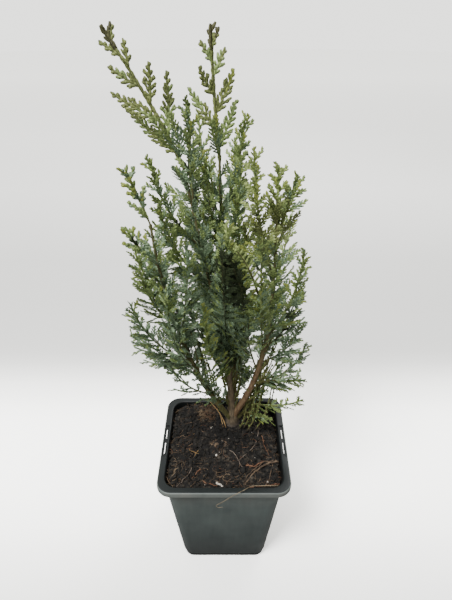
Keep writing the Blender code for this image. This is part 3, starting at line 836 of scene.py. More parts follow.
@dataclass
class Plan:
    """The plant's growing rule, the same as in the frame: limbs, stems and twigs."""

    foot: Vector = field(default_factory=lambda: Vector((6.4, 19.3, 91.56)))
    flare: float = 1.5
    flare_height: float = 5.0
    wood_step: float = 9.0
    stem_radius: float = 1.3
    stem_step: float = 11.0
    stem_tip_bare: float = 4.0
    clearance: float = 0.3
    twig_bare_foot: float = 7.0
    twig_pitch: float = 9.0
    twig_shortest: float = 8.0
    leaf_pitch: float = 6.4
    leaf_length: float = 13.5
    reach_taper: float = 0.75
    reach_spread: Span = (0.85, 1.05)
    paths: dict[str, Path] = field(default_factory=dict)

    def __post_init__(self) -> None:
        """Work out every limb's path."""
        self.limbs = {limb.name: limb for limb in LIMBS}
        for limb in LIMBS:
            start = self.foot
            if limb.parent:
                start, _ = point_at(self.paths[limb.parent], limb.at)
            path = self.bent_path(start, limb, self.wood_step)
            if not limb.parent:
                path[1:1] = [start + UP * 1.5, start + UP * 4.0]
            self.paths[limb.name] = path

    def bent_path(self, start: Vector, limb: Limb | Mass, step: float) -> Path:
        """Path whose heading and rise change evenly.

        Args:
            start: Its first point.
            limb: Limb or mass with its bend and length.
            step: Length of path between points.

        Returns:
            The path.
        """
        count = max(3, round(limb.length / step))
        points = [Vector(start)]
        for i in range(count):
            share = (i + 0.5) / count
            rise = limb.rise + (limb.tip_rise - limb.rise) * share
            onward = heading_vector(limb.heading + limb.turn * share, rise)
            points.append(points[-1] + onward * limb.length / count)
        return points

    def limb_radius(self, limb: Limb, share: float) -> float:
        """Radius at a share of a limb's length; the trunk also flares at its foot."""
        radius = limb.tip_radius + (limb.radius - limb.tip_radius) * (1 - share) ** limb.taper
        if not limb.parent:
            radius += self.flare * math.exp(-share * limb.length / self.flare_height)
        return radius

    def stem_path(self, mass: Mass) -> Path:
        """Path of a mass's stem, from just outside the limb that carries it."""
        limb = self.limbs[mass.parent]
        place, along = point_at(self.paths[mass.parent], mass.at)
        ahead = heading_vector(mass.heading, mass.rise)
        lean = ahead.cross(along).length
        if mass.at < 1:
            aside = self.limb_radius(limb, mass.at) + self.clearance
            clear = (aside + self.stem_radius * ahead.dot(along)) / lean
        else:
            clear = self.clearance + self.stem_radius * lean
        shorter = mass._replace(length=mass.length - clear)
        return self.bent_path(place + ahead * clear, shorter, self.stem_step)

    def twigs(self, mass: Mass, stem: Path) -> Iterator[Twig]:
        """Twigs of a mass, in the order and with the random draws of the frame.

        Args:
            mass: The mass.
            stem: Its stem's path.

        Yields:
            Each twig; one with a reach under leaf_length is a single branchlet in the frame.
        """
        chance = random.Random(mass.name)
        place = self.twig_bare_foot
        side = chance.choice((-1, 1))
        while place < mass.length - self.stem_tip_bare:
            share = place / mass.length
            root, ahead = point_at(stem, share)
            turn = math.radians(sway(chance, mass.roll))
            flat = square_to(heading_vector(mass.facing), ahead)
            flat = Matrix.Rotation(turn, 3, ahead) @ flat
            reach = mass.reach * (1 - share) ** self.reach_taper * chance.uniform(*self.reach_spread)
            reach = max(reach, self.twig_shortest)
            yield Twig(share, Fork(root, ahead, flat.cross(ahead) * side, flat), reach)
            side = -side
            place += self.leaf_pitch if reach < self.leaf_length else self.twig_pitch


def cut(body: Object, cutter: Shape) -> None:
    """Cut a shape out of the pot for good."""
    tool = cutter.piece("pot_cutter", smooth_below=None)
    modifier = body.modifiers.new("cut", "BOOLEAN")
    modifier.operation = "DIFFERENCE"
    modifier.solver = "EXACT"
    modifier.object = tool
    apply_modifiers(body)
    discard(tool)


def box(x: Sequence[float], y: Sequence[float], z: Sequence[float]) -> Shape:
    """Block between two values on each axis."""
    corners = ((x[0], y[0]), (x[1], y[0]), (x[1], y[1]), (x[0], y[1]))
    return loft([[Vector((*corner, level)) for corner in corners] for level in z])


@dataclass
class Pot:
    """Square tapered nursery pot: thin walls, a flange with a skirt, slots and drain holes, and painted
    shade on its mesh.
    """

    height: float = 95.0
    rim_half: float = 45.0
    rim_corner: float = 10.0
    wall: float = 1.0
    skirt_drop: float = 4.0
    lip: float = 1.1
    top_half: float = 40.8
    top_corner: float = 9.5
    foot_half: float = 31.5
    foot_corner: float = 8.0
    foot_edge: float = 1.4
    base_half: float = 30.4
    base_corner: float = 7.0
    base_height: float = 4.4
    floor: float = 1.2
    corner_steps: int = 14
    slot_spans: tuple[Span, ...] = ((-11.6, -1.6), (2.4, 10.8))
    slot_width: float = 0.4
    slot_middle: float = 42.6
    slot_depth: float = 3.0
    gutter: Span = (-15.0, 14.5)
    gutter_width: float = 2.9
    gutter_depth: float = 0.75
    drain_ring: float = 21.0
    drain_radius: float = 3.0
    drains: int = 8
    # Painted shade on the mesh: the flange nearly as dark as the inner wall and gutters, the outer wall
    # darker towards the bottom; below 0 it paints none and adds dust, as on the skirt
    flange_shade: float = 0.95
    skirt_shade: float = -0.4
    wall_shade: float = -0.10
    sharp_above: float = 32.0
    finish: PlasticFinish = PlasticFinish("pot_plastic", (0.042, 0.060, 0.058), (0.084, 0.110, 0.104),
                                          (0.004, 0.005, 0.005), (0.150, 0.145, 0.130))

    def wall_at(self, z: float, inset: float = 0.0) -> Span:
        """Half width and corner radius of the body at a height, outside or some way inside."""
        share = (z - self.base_height) / (self.height - self.wall - self.base_height)
        return (self.foot_half + share * (self.top_half - self.foot_half) - inset,
                self.foot_corner + share * (self.top_corner - self.foot_corner) - inset)

    def quarter_round(self, half: float, corner: float, z: float, across: float, up: float,
                      steps: int, level_first: bool = False) -> list[Place]:
        """Rows of a rounded edge that ends at a ring.

        Args:
            half: Half width of that ring.
            corner: Its corner radius.
            z: Its height.
            across: How much wider than the ring the edge starts.
            up: How much higher.
            steps: Steps of the edge.
            level_first: Whether it starts level, not upright.

        Returns:
            The rows.
        """
        rows = []
        for step in range(steps + 1):
            angle = step / steps * math.pi / 2
            off, lift = 1 - math.sin(angle), 1 - math.cos(angle)
            if level_first:
                off, lift = lift, off
            rows.append((half + across * off, corner + across * off, z + up * lift))
        return rows

    def profile(self) -> list[Place]:
        """Half width, corner radius and height of each ring, from the foot over the rim inside."""
        under = self.height - self.wall
        skirt = self.height - self.skirt_drop
        inner, inner_corner = self.rim_half - self.wall, self.rim_corner - self.wall
        edge = self.foot_edge
        rows = [(self.base_half - 0.5, self.base_corner - 0.5, 0.0),
                (self.base_half, self.base_corner, 0.5),
                (self.base_half, self.base_corner, self.base_height - 0.3),
                (self.base_half + 0.3, self.base_corner + 0.3, self.base_height)]
        rows += self.quarter_round(*self.wall_at(self.base_height + edge), self.base_height, -edge, edge, 4)
        for share in (0.25, 0.5, 0.75):
            z = self.base_height + edge + share * (under - self.base_height - edge)
            rows.append((*self.wall_at(z), z))
        half, corner = self.wall_at(under)
        rows += [(half, corner, under - 0.7), (half + 0.25, corner + 0.25, under - 0.2),
                 (half + 0.7, corner + 0.5, under), (inner, inner_corner, under),
                 (inner, inner_corner, skirt + 0.2), (inner + 0.25, inner_corner + 0.25, skirt),
                 (self.rim_half - 0.25, self.rim_corner - 0.25, skirt),
                 (self.rim_half, self.rim_corner, skirt + 0.25)]
        rows += self.quarter_round(self.rim_half, self.rim_corner, self.height, -self.lip, -self.lip, 5,
                                   level_first=True)
        rows += self.quarter_round(*self.wall_at(under, self.wall), self.height, self.lip, -self.lip, 5)
        floor_top = self.base_height + self.floor
        for share in (0.6, 0.3, 0.0):
            z = floor_top + share * (under - floor_top)
            rows.append((*self.wall_at(z, self.wall), z))
        return rows

    def shade_at(self, point: Vector) -> float:
        """How much painted shade a point of the pot takes.

        Args:
            point: The point.

        Returns:
            1 on the inner wall and in the gutters, where shade falls, less on the flange and low down
            outside, growing towards the foot, and below 0 on the skirt, where it adds dust instead.
        """
        x, y, z = abs(point.x), abs(point.y), point.z
        half, corner = self.wall_at(z)
        past = [max(0.0, value - (half - corner)) for value in (x, y)]
        if z > self.base_height and math.hypot(*past) < corner - 0.4:
            return 1.0
        if z > self.height - 0.1:
            return self.flange_shade
        in_gutter = abs(x - self.slot_middle) < self.gutter_width / 2 + 0.1
        if in_gutter and self.gutter[0] - 0.1 < point.y < self.gutter[1] + 0.1 and z > half:
            return 1.0
        if z > self.height - self.skirt_drop - 0.1:
            return self.skirt_shade
        # Painted shade that darkens the outer wall towards the bottom
        return self.wall_shade + (1 - z / self.height) ** 0.85

    def build(self) -> list[Object]:
        """Build and dress the pot.

        Returns:
            Its one piece.
        """
        rings = [rounded_square(*row, self.corner_steps) for row in self.profile()]
        pot = loft(rings).piece("pot_shell", self.finish.material(), smooth_below=None)
        openings = [(self.gutter, self.gutter_width, self.gutter_depth)]
        openings += [(span, self.slot_width, self.slot_depth) for span in self.slot_spans]
        for side in (-1, 1):
            for span, width, depth in openings:
                x = sorted(side * (self.slot_middle + off) for off in (-width / 2, width / 2))
                cut(pot, box(x, span, (self.height - depth, self.height + 1)))
        for i in range(self.drains):
            angle = math.tau * i / self.drains
            axis = Vector((math.cos(angle), math.sin(angle), 0)) * self.drain_ring
            cut(pot, tube([axis - UP, axis + UP * 8], lambda share: self.drain_radius, 24))
        # Painted shade on each point, which the plastic's finish reads
        shade = pot.data.attributes.new("shade", "FLOAT", "POINT").data
        shade.foreach_set("value", [self.shade_at(v.co / MM) for v in pot.data.vertices])
        pot.data.shade_smooth()
        pot.data.set_sharp_from_angle(angle=math.radians(self.sharp_above))
        return [dress_piece(pot, "pot", ["pot"])]


def lump_shape(seed: str, points: int) -> Shape:
    """Small angular lump of unit radius.

    Args:
        seed: Seed of its shape.
        points: Points that its hull is drawn round.

    Returns:
        The lump.
    """
    chance = random.Random(seed)
    hull = bmesh.new()
    for _ in range(points):
        way = Vector((chance.gauss(0, 1), chance.gauss(0, 1), chance.gauss(0, 0.8))).normalized()
        hull.verts.new(way * chance.uniform(0.7, 1.1))
    bmesh.ops.convex_hull(hull, input=hull.verts)
    bmesh.ops.delete(hull, geom=[v for v in hull.verts if not v.link_faces], context="VERTS")
    bmesh.ops.recalc_face_normals(hull, faces=hull.faces)
    hull.verts.index_update()
    made = Shape([v.co.copy() for v in hull.verts],
                 [tuple(v.index for v in face.verts) for face in hull.faces])
    hull.free()
    return made


def fibre_shape(seed: str) -> Shape:
    """Thin bent fibre of unit length, lying flat."""
    chance = random.Random(seed)
    points = [Vector((-0.5, 0.0, 0.0))]
    heading = sway(chance, 30)
    for _ in range(5):
        heading += sway(chance, 35)
        points.append(points[-1] + heading_vector(heading, sway(chance, 12)) * 0.2)
    return tube(points, lambda share: 0.017 * (1.1 - 0.7 * share), 3)


def scatter_tree() -> NodeTree:
    """Tree that strews shapes over a surface, each turned and sized at random."""
    graph, given = new_tree("strewn_shapes", (
        ("Shapes", "Collection", None), ("Per square metre", "Float", 1000.0),
        ("Smallest", "Float", 0.001), ("Largest", "Float", 0.002), ("Patchiness", "Float", 0.0),
        ("Tilt", "Float", 3.1), ("Seed", "Int", 1), ("Finish", "Material", None)))
    place = graph.node("GeometryNodeInputPosition")
    patch = graph.node("ShaderNodeTexNoise", {"Vector": place, "Scale": 1 / (9.0 * MM), "Detail": 2.0})
    density = given["Per square metre"] * (1 + given["Patchiness"] * (patch * 10 - 5.2))
    points = graph.node("GeometryNodeDistributePointsOnFaces",
                        {"Mesh": given["Geometry"], "Density": density, "Seed": given["Seed"]})
    shapes = graph.node("GeometryNodeCollectionInfo", {"Collection": given["Shapes"],
                                                       "Separate Children": True, "Reset Children": True})
    size = graph.node("FunctionNodeRandomValue", {2: 0.0, 3: 1.0, "Seed": given["Seed"]}, output=1,
                      data_type="FLOAT")
    scale = size * size * (given["Largest"] - given["Smallest"]) + given["Smallest"]
    low, high = (graph.node("ShaderNodeCombineXYZ", {0: tilt, 1: tilt, 2: way * math.pi})
                 for tilt, way in ((0.0 - given["Tilt"], -1), (given["Tilt"], 1)))
    turn = graph.node("FunctionNodeRandomValue", {0: low, 1: high, "Seed": given["Seed"]},
                      data_type="FLOAT_VECTOR")
    placed = graph.node("GeometryNodeInstanceOnPoints",
                        {"Points": points, "Instance": shapes, "Pick Instance": True, "Rotation": turn,
                         "Scale": scale})
    end_tree(graph, placed, given["Finish"])
    return graph.tree


@dataclass
class Compost:
    """Root ball of dark peat: a lumpy dome with crumbs, fibres, roots and white grit on it."""

    plan: Plan
    edge_height: float = 88.0
    edge_drop: float = 1.2
    dome: float = 3.5
    half: float = 38.4
    corner: float = 14.0
    foot_z: float = 5.8
    foot_half: float = 30.3
    foot_corner: float = 7.0
    side_rows: tuple[Span, ...] = ((0.75, 60.0), (0.98, 84.5), (1.0, 86.2))
    shoulder: float = 86.9
    corner_steps: int = 16
    rings: int = 26
    border_rings: int = 9
    lump: float = 2.5
    lump_size: float = 6.0
    fine_lump_share: float = 0.45
    fine_lump_ratio: float = 2.7
    calmest_share: float = 0.15
    calm_radius: float = 4.0
    calm_spread: float = 8.0
    heap: float = 4.6
    heap_place: Span = (-20.0, 36.0)
    heap_spread: Span = (15.0, 11.0)
    bank: float = 3.0
    bank_spread: float = 9.0
    collar: float = 1.1
    collar_radius: float = 6.0
    collar_spread: float = 4.0
    root_wiggle: float = 0.7
    root_sides: int = 6
    peat: EarthFinish = EarthFinish("peat", (0.0030, 0.0028, 0.0024), (0.0066, 0.0061, 0.0053),
                                    (0.017, 0.0145, 0.0115))
    crumb: EarthFinish = EarthFinish("peat_crumb", (0.0035, 0.0032, 0.0026), (0.0080, 0.0072, 0.0060),
                                     (0.050, 0.041, 0.030), 3.0)
    fibre: EarthFinish = EarthFinish("peat_fibre", (0.028, 0.019, 0.013), (0.085, 0.058, 0.037),
                                     (0.220, 0.160, 0.100), 4.0)
    straw: EarthFinish = EarthFinish("straw_root", (0.130, 0.078, 0.032), (0.290, 0.180, 0.076),
                                     (0.450, 0.310, 0.150), 3.0)
    faded: EarthFinish = EarthFinish("faded_root", (0.080, 0.062, 0.038), (0.180, 0.140, 0.088),
                                     (0.300, 0.245, 0.165))
    rust: EarthFinish = EarthFinish("rust_root", (0.045, 0.021, 0.012), (0.115, 0.054, 0.030),
                                    (0.220, 0.125, 0.075), 3.0)
    grey: EarthFinish = EarthFinish("grey_root", (0.060, 0.045, 0.036), (0.120, 0.094, 0.074),
                                    (0.220, 0.180, 0.150), 3.0)
    grit: EarthFinish = EarthFinish("pale_grit", (0.230, 0.205, 0.175), (0.420, 0.380, 0.330),
                                    (0.640, 0.600, 0.540), 1.5)

    def height_at(self, x: float, y: float) -> float:
        """Height of the lumpy surface.

        Args:
            x: Place from the pot's middle to the right.
            y: Place from the pot's middle to the back.

        Returns:
            Its height.
        """
        foot = self.plan.foot
        shares = []
        for value, middle in ((x, foot.x), (y, foot.y)):
            side = 1 if value > middle else -1
            shares.append(abs(value - middle) / (self.half - side * middle))
        dome = self.dome * (1 - min(1.0, max(shares)) ** 2)
        from_trunk = math.hypot(x - foot.x, y - foot.y)
        calm = min(1.0, max(self.calmest_share, (from_trunk - self.calm_radius) / self.calm_spread))
        bumps = noise.noise(Vector((x, y, 3.0)) / self.lump_size)
        bumps += self.fine_lump_share * noise.noise(Vector((x, y,
                                                            9.0)) / self.lump_size * self.fine_lump_ratio)
        aside, behind = ((value - middle) / spread for value, middle, spread
                         in zip((x, y), self.heap_place, self.heap_spread))
        heap = self.heap * math.exp(-aside ** 2 - behind ** 2)
        collar = self.collar * math.exp(-((from_trunk - self.collar_radius) / self.collar_spread) ** 2)
        bank = self.bank * math.exp(-((x + self.half) / self.bank_spread) ** 2)
        return self.edge_height + dome + self.lump * calm * bumps + heap + bank + collar

    def top_rings(self) -> list[Ring]:
        """Rings of the upper surface, from the edge in towards the trunk."""
        edge = rounded_square(self.half, self.corner, 0.0, self.corner_steps)
        foot = self.plan.foot
        made = []
        for level in range(self.rings):
            share = 1 - level / self.rings
            ring = []
            for point in edge:
                x = foot.x + share * (point.x - foot.x)
                y = foot.y + share * (point.y - foot.y)
                ring.append(Vector((x, y, self.height_at(x, y) - (0.0 if level else self.edge_drop))))
            made.append(ring)
        return made

    def patch(self, x: float, y: float, half_x: float, half_y: float) -> Shape:
        """Small piece of ground.

        Args:
            x: Its middle.
            y: Its middle.
            half_x: Half its width.
            half_y: Half its depth.

        Returns:
            A round sheet just above the surface.
        """
        rings = []
        for share in (1.0, 0.75, 0.5, 0.25):
            ring = []
            for step in range(14):
                angle = math.tau * step / 14
                px, py = x + half_x * share * math.cos(angle), y + half_y * share * math.sin(angle)
                ring.append(Vector((px, py, self.height_at(px, py) + 0.5 * (1.2 - share))))
            rings.append(ring)
        return loft(rings, cap_foot=False)

    def strew(self, row: Strewn, tree: NodeTree, ground: Shape, shapes: Sequence[Shape]) -> Object:
        """Strew shapes over part of the surface.

        Args:
            row: What is strewn there, and how.
            tree: The tree that strews.
            ground: Surface to strew on.
            shapes: Its kinds, of unit size.

        Returns:
            The piece.
        """
        kinds = bpy.data.collections.new(f"{row.name}_kinds")
        bpy.context.scene.collection.children.link(kinds)
        for i, shape in enumerate(shapes):
            kind = shape.piece(f"{row.name}_kind_{i}", smooth_below=None)
            kind.data.transform(Matrix.Scale(1 / MM, 4))
            bpy.context.scene.collection.objects.unlink(kind)
            kinds.objects.link(kind)
        made = ground.piece(row.name, smooth_below=None)
        use_tree(made, tree, {"Shapes": kinds, "Per square metre": row.density / MM ** 2,
                              "Smallest": row.sizes[0] * MM, "Largest": row.sizes[1] * MM,
                              "Tilt": row.tilt, "Seed": row.seed, "Patchiness": row.patchiness,
                              "Finish": getattr(self, row.finish).material()})
        discard(*kinds.objects)
        bpy.data.collections.remove(kinds)
        return made

    def strand(self, path: Path, thick: float, stout: float) -> Shape:
        """Thin root that tapers along its path, as stout at its foot as given."""
        return tube(path, lambda share: thick / 2 * (stout - 0.6 * share), self.root_sides)

    def lying_path(self, places: Sequence[Place], thick: float, seed: str) -> Path:
        """Line of a root that lies on the surface.

        Args:
            places: x, y and lift above the surface of the points it passes.
            thick: Its thickness at its stouter end.
            seed: Seed of its small kinks.

        Returns:
            The line.
        """
        chance = random.Random(seed)
        path = []
        for point in refined([Vector(place) for place in places], 6):
            x = point.x + sway(chance, self.root_wiggle) * 0.5
            y = point.y + sway(chance, self.root_wiggle) * 0.5
            inside = max(abs(x), abs(y)) < self.half
            ground = self.height_at(x, y) if inside else self.edge_height
            path.append(Vector((x, y, ground + point.z + thick * 0.3 + 0.6)))
        return refined(path, 2)

    def ball(self, top: list[Ring]) -> Shape:
        """Root ball under the rings of its upper surface."""
        below = [rounded_square(self.foot_half, self.foot_corner, self.foot_z, self.corner_steps)]
        for share, z in self.side_rows:
            half = self.foot_half + share * (self.half + 0.6 - self.foot_half)
            below.append(rounded_square(half, self.foot_corner + share * 5, z, self.corner_steps))
        below.append(rounded_square(self.half + 0.2, self.corner - 1, self.shoulder, self.corner_steps))
        return loft(below + top)

    def grains(self) -> Shape:
        """Single pale grains on the surface."""
        made = Shape()
        for i, (x, y, size) in enumerate(GRAINS):
            lump = lump_shape(f"grain {i}", 12)
            place = Vector((x, y, self.height_at(x, y) + size * 0.5))
            made.add(Shape([place + point * size for point in lump.points], lump.faces))
        return made

    def build(self) -> list[Object]:
        """Build and dress the compost and what lies on it.

        Returns:
            Its pieces.
        """
        top = self.top_rings()
        ball = self.ball(top).piece("compost", self.peat.material())
        pieces = [dress_piece(ball, "soil", ["soil"])]
        tree = scatter_tree()
        lumps = [lump_shape(f"crumb {i}", 11) for i in range(5)]
        fibres = [fibre_shape(f"fibre {i}") for i in range(8)]
        grounds = {"all": loft(top, cap_foot=False),
                   "border": loft(top[:self.border_rings], cap_foot=False, cap_top=False)}
        grounds |= {name: self.patch(*place) for name, place in PATCHES.items()}
        loose = [self.strew(row, tree, grounds[row.where], fibres if row.fibres else lumps)
                 for row in STREWN]
        loose.append(self.grains().piece("compost_grains", self.grit.material(), smooth_below=None))
        for name, finish, thick, points in HANGING:
            strand = self.strand(refined([Vector(point) for point in points], 6), thick, 1.1)
            loose.append(strand.piece(name, getattr(self, finish).material()))
        for name, finish, strands in ROOTS:
            shape = Shape()
            for i, (thick, places) in enumerate(strands):
                shape.add(self.strand(self.lying_path(places, thick, f"{name} {i}"), thick, 1.05))
            loose.append(shape.piece(name, getattr(self, finish).material()))
        return pieces + [dress_piece(piece, "soil") for piece in loose]


class Strewn(NamedTuple):
    """Fibres or crumbs strewn on part of the compost."""

    name: str
    where: str
    fibres: bool
    density: float
    sizes: Span
    tilt: float
    seed: int
    finish: str
    patchiness: float


# Densities are shapes per square millimetre, sizes the smallest and largest, tilts in radians.
# A patchiness of 0 is even, and 1 leaves dense and bare patches.
STREWN = (
    Strewn("compost_crumbs", "all", False, 0.44, (0.4, 2.8), math.pi, 7, "crumb", 0.0),
    Strewn("compost_fine_crumbs", "all", False, 0.7, (0.25, 0.8), math.pi, 11, "peat", 0.0),
    Strewn("compost_fibres", "all", True, 0.07, (3.0, 12.0), 0.40, 5, "fibre", 1.0),
    Strewn("compost_rust_fibres", "all", True, 0.045, (2.5, 10.0), 0.35, 8, "rust", 1.0),
    Strewn("compost_border_fibres", "border", True, 0.14, (4.0, 14.0), 0.50, 13, "fibre", 0.9),
    Strewn("compost_straw_bits", "all", True, 0.026, (1.5, 6.0), 0.40, 17, "straw", 0.8),
    Strewn("compost_grit", "all", False, 0.0055, (0.25, 0.65), math.pi, 21, "grit", 0.0),
    Strewn("fibre_mat", "mat", True, 3.6, (3.0, 8.5), 0.80, 25, "fibre", 0.2),
    Strewn("fibre_mat_rust", "mat", True, 0.6, (3.0, 8.0), 0.85, 27, "rust", 0.3),
    Strewn("straw_clump", "clump", True, 2.2, (1.6, 4.0), 0.9, 31, "straw", 0.5),
    Strewn("brown_clump", "clump", False, 1.6, (0.5, 1.6), math.pi, 33, "fibre", 0.5),
    Strewn("trunk_foot_crumbs", "collar", False, 2.2, (0.6, 2.2), math.pi, 35, "crumb", 0.0),
    Strewn("trunk_foot_fibres", "collar", True, 1.2, (3.0, 8.0), 0.6, 37, "fibre", 0.0),
)

# Middle and half sizes of the patches: x, y, half width, half depth
PATCHES = {"mat": (-13.0, 30.0, 8.5, 8.0), "clump": (-4.0, 0.0, 6.5, 3.2),
           "collar": (6.4, 18.2, 9.0, 7.5)}

# Single pale grains: x, y, size
GRAINS = ((-9.6, 15.3, 0.9), (9.3, -4.9, 0.7), (-5.5, -11.3, 1.0), (29.8, -30.7, 0.9),
          (-28.7, 10.7, 1.0), (20.5, 11.2, 0.9), (3.4, 4.1, 0.6), (-17.0, -3.0, 0.6))

# Strands that rise over the rim: name, finish, thickness and the x, y, z that they pass
HANGING = (
    ("root_over_rim", "faded", 0.45, (
        (36.6, -34.2, 89.0), (30.6, -35.0, 89.9), (22.3, -36.2, 91.6), (17.4, -39.5, 95.0),
        (14.0, -43.2, 97.2), (10.4, -45.6, 97.6), (5.6, -46.4, 94.8), (-0.9, -46.4, 88.6),
        (-4.6, -46.0, 85.0), (-5.0, -45.6, 82.9), (-3.2, -45.6, 81.6), (-1.0, -45.6, 82.2))),
    ("golden_strand", "straw", 0.7, (
        (1.7, 12.0, 91.8), (0.6, 15.5, 95.0), (-1.7, 20.0, 97.8), (-5.2, 25.5, 99.7),
        (-9.6, 31.0, 101.2), (-13.7, 36.5, 101.6), (-18.2, 41.5, 101.8))),
    ("second_strand", "straw", 0.6, (
        (-0.5, 13.0, 92.0), (-1.7, 18.0, 95.0), (-3.3, 23.5, 97.2), (-5.7, 28.5, 98.9))),
)

# Roots on the compost: finish, then thickness and places (x, y, lift above the surface)
ROOTS = (
    ("stout_root", "fibre", (
        (1.5, ((38.0, -14.5, 0.4), (29.4, -18.5, 0.7), (21.3, -24.1, 0.5), (15.0, -31.9, 0.3),
               (12.0, -36.5, -0.6))),
        (1.0, ((37.5, -13.0, 0.9), (28.6, -16.9, 1.2), (20.3, -23.0, 0.9), (14.2, -30.0, 0.3))),
        (0.7, ((36.0, -9.0, 0.1), (33.5, -20.0, 0.3), (29.0, -33.5, 0.2), (22.0, -36.5, 0.2))))),
    ("rust_roots", "rust", (
        (1.0, ((15.0, -19.8, 0.3), (20.3, -20.0, 0.8), (26.5, -17.3, 1.5), (36.1, -13.0, 0.9))),
        (0.7, ((28.4, 7.7, 0.0), (29.6, -3.1, 0.5), (33.7, -11.1, 0.2))),
        (0.9, ((-16.5, -20.8, 0.2), (-21.5, -28.1, 0.5))),
        (0.6, ((-6.3, -18.7, 0.2), (-2.0, -22.1, 0.5))),
        (0.8, ((38.0, -33.0, 0.2), (30.0, -34.6, 0.7), (21.0, -35.6, 0.9), (14.0, -36.6, 0.5))),
        (0.7, ((-14.3, -30.7, 0.2), (-8.9, -33.8, 0.6), (-4.8, -35.7, 0.3))))),
    ("straw_roots", "straw", (
        (0.5, ((-27.3, -4.9, 0.4), (-21.4, -7.8, 0.7), (-16.9, -10.1, 0.4))),
        (0.4, ((-19.0, -4.6, 0.6), (-21.9, -11.6, 0.3))))),
    ("grey_roots", "grey", (
        (0.7, ((-1.6, 2.0, 0.5), (3.5, -5.7, 0.9), (8.3, -12.3, 0.7), (12.4, -21.4, 0.3))),
        (0.6, ((25.7, 11.3, 0.4), (23.1, -0.6, 0.8), (17.1, -8.0, 0.5), (9.5, -15.9, 0.2))),
        (0.6, ((-22.4, -22.1, 0.3), (-26.2, -29.4, 0.6), (-31.5, -37.2, 0.6))),
        (0.5, ((-26.0, 14.0, 0.2), (-28.5, 6.0, 0.6), (-27.0, 0.0, 0.2))))),
    ("pale_chip", "grit", (
        (1.7, ((-5.2, -33.8, 0.7), (-3.0, -35.0, 0.9), (-0.8, -36.2, 0.8))),)),
)


@dataclass
class Bark:
    """Trunk and boughs with the relief of flaking bark."""

    plan: Plan
    ridge: float = 0.45
    flake: float = 0.50
    full_relief: float = 3.0
    slimmer: float = 0.3
    flare: float = 0.75
    flare_share: float = 0.13
    trunk_sides: int = 30
    bough_sides: int = 18
    grey: BarkFinish = BarkFinish("trunk_bark", (0.036, 0.027, 0.016), (0.140, 0.106, 0.064),
                                  (0.280, 0.222, 0.140))
    orange: BarkFinish = BarkFinish("cinnamon_bark", (0.060, 0.034, 0.016), (0.200, 0.122, 0.062),
                                    (0.320, 0.225, 0.130))
    olive: BarkFinish = BarkFinish("olive_bark", (0.040, 0.036, 0.012), (0.115, 0.108, 0.036),
                                   (0.185, 0.165, 0.070))
    brown: BarkFinish = BarkFinish("brown_bark", (0.034, 0.021, 0.011), (0.105, 0.066, 0.034),
                                   (0.185, 0.130, 0.075))

    def relief(self, size: float) -> Callable[[Vector], float]:
        """Relief of bark on a limb.

        Args:
            size: The limb's radius at its foot.

        Returns:
            Extra radius at a point.
        """
        depth = min(1.0, size / self.full_relief)

        def height(point: Vector) -> float:
            """Long ridges, broken into flakes."""
            long = noise.noise(Vector((point.x * 1.1, point.y * 1.1, point.z * 0.16)))
            short = noise.noise(Vector((point.x * 1.9, point.y * 1.9, point.z * 0.55 + 40)))
            return depth * (self.ridge * long + self.flake * max(0.0, short))

        return height

    def build(self) -> list[Object]:
        """Build and dress each limb.

        Returns:
            One piece for each limb.
        """
        finishes = {"trunk": self.grey, "right_bough": self.orange, "left_bough": self.olive,
                    "left_leader": self.brown, "back_bough": self.brown, "low_shoot": self.olive}
        materials = {finish.name: finish.material() for finish in finishes.values()}
        pieces = []
        for limb in LIMBS:
            path = refined(self.plan.paths[limb.name], 8)
            sides, flare = self.bough_sides, 0.0
            if not limb.parent:
                path = [path[0] - UP * 3.0, path[0] - UP * 1.5, *path]
                sides, flare = self.trunk_sides, self.flare

            def radius(share: float, limb: Limb = limb, flare: float = flare) -> float:
                """Radius of this limb, slimmer towards its tip and stouter at its foot."""
                stout = 1 - self.slimmer * share
                stout += flare * math.exp(-(share / self.flare_share) ** 2)
                return self.plan.limb_radius(limb, share) * stout

            shape = tube(path, radius, sides, self.relief(limb.radius))
            piece = shape.piece(f"{limb.name}_bark", materials[finishes[limb.name].name])
            pieces.append(dress_piece(piece, "bark", [limb.name]))
        return pieces


# Masses at the tips of the two tall stems
LEADERS = ("left_leader_top", "right_leader_top")

# Share of the innermost leaves that take the dark leaf of painted shade, in each colour of mass
INNER_SHADE = {Tint.BLUE: 0.32, Tint.GREEN: 0.12, Tint.PALE: 0.25, Tint.LEADER: 0.0, Tint.YOUNG: 0.15}

# Share of the outermost leaves that are fresh growth, in each colour of mass
FRESH_TIPS = {Tint.BLUE: 0.08, Tint.GREEN: 0.20, Tint.PALE: 0.20, Tint.LEADER: 0.20, Tint.YOUNG: 0.60}


class Frond(NamedTuple):
    """Single frond that stands out in front of the crown: its part, colour and stem."""

    section: Section
    tint: Tint
    places: tuple[Place, ...]


# The pale comb beside the hollow
FRONDS = (
    Frond(Section.RIGHT, Tint.PALE, (
        (26.0, 8.0, 196.9), (23.1, 0.0, 210.9), (19.0, -8.0, 226.7), (15.0, -13.0, 239.7),
        (10.4, -16.0, 250.3), (5.5, -18.0, 257.7), (0.8, -19.0, 262.6))),
)


class Stretch(NamedTuple):
    """Stretch of a limb that bears sprays or fans: their part, reach, colour and spacing."""

    limb: str
    section: Section
    start: float
    end: float
    reach: float
    tint: Tint
    pitch: float = 0.0
    outer: float = 1.0


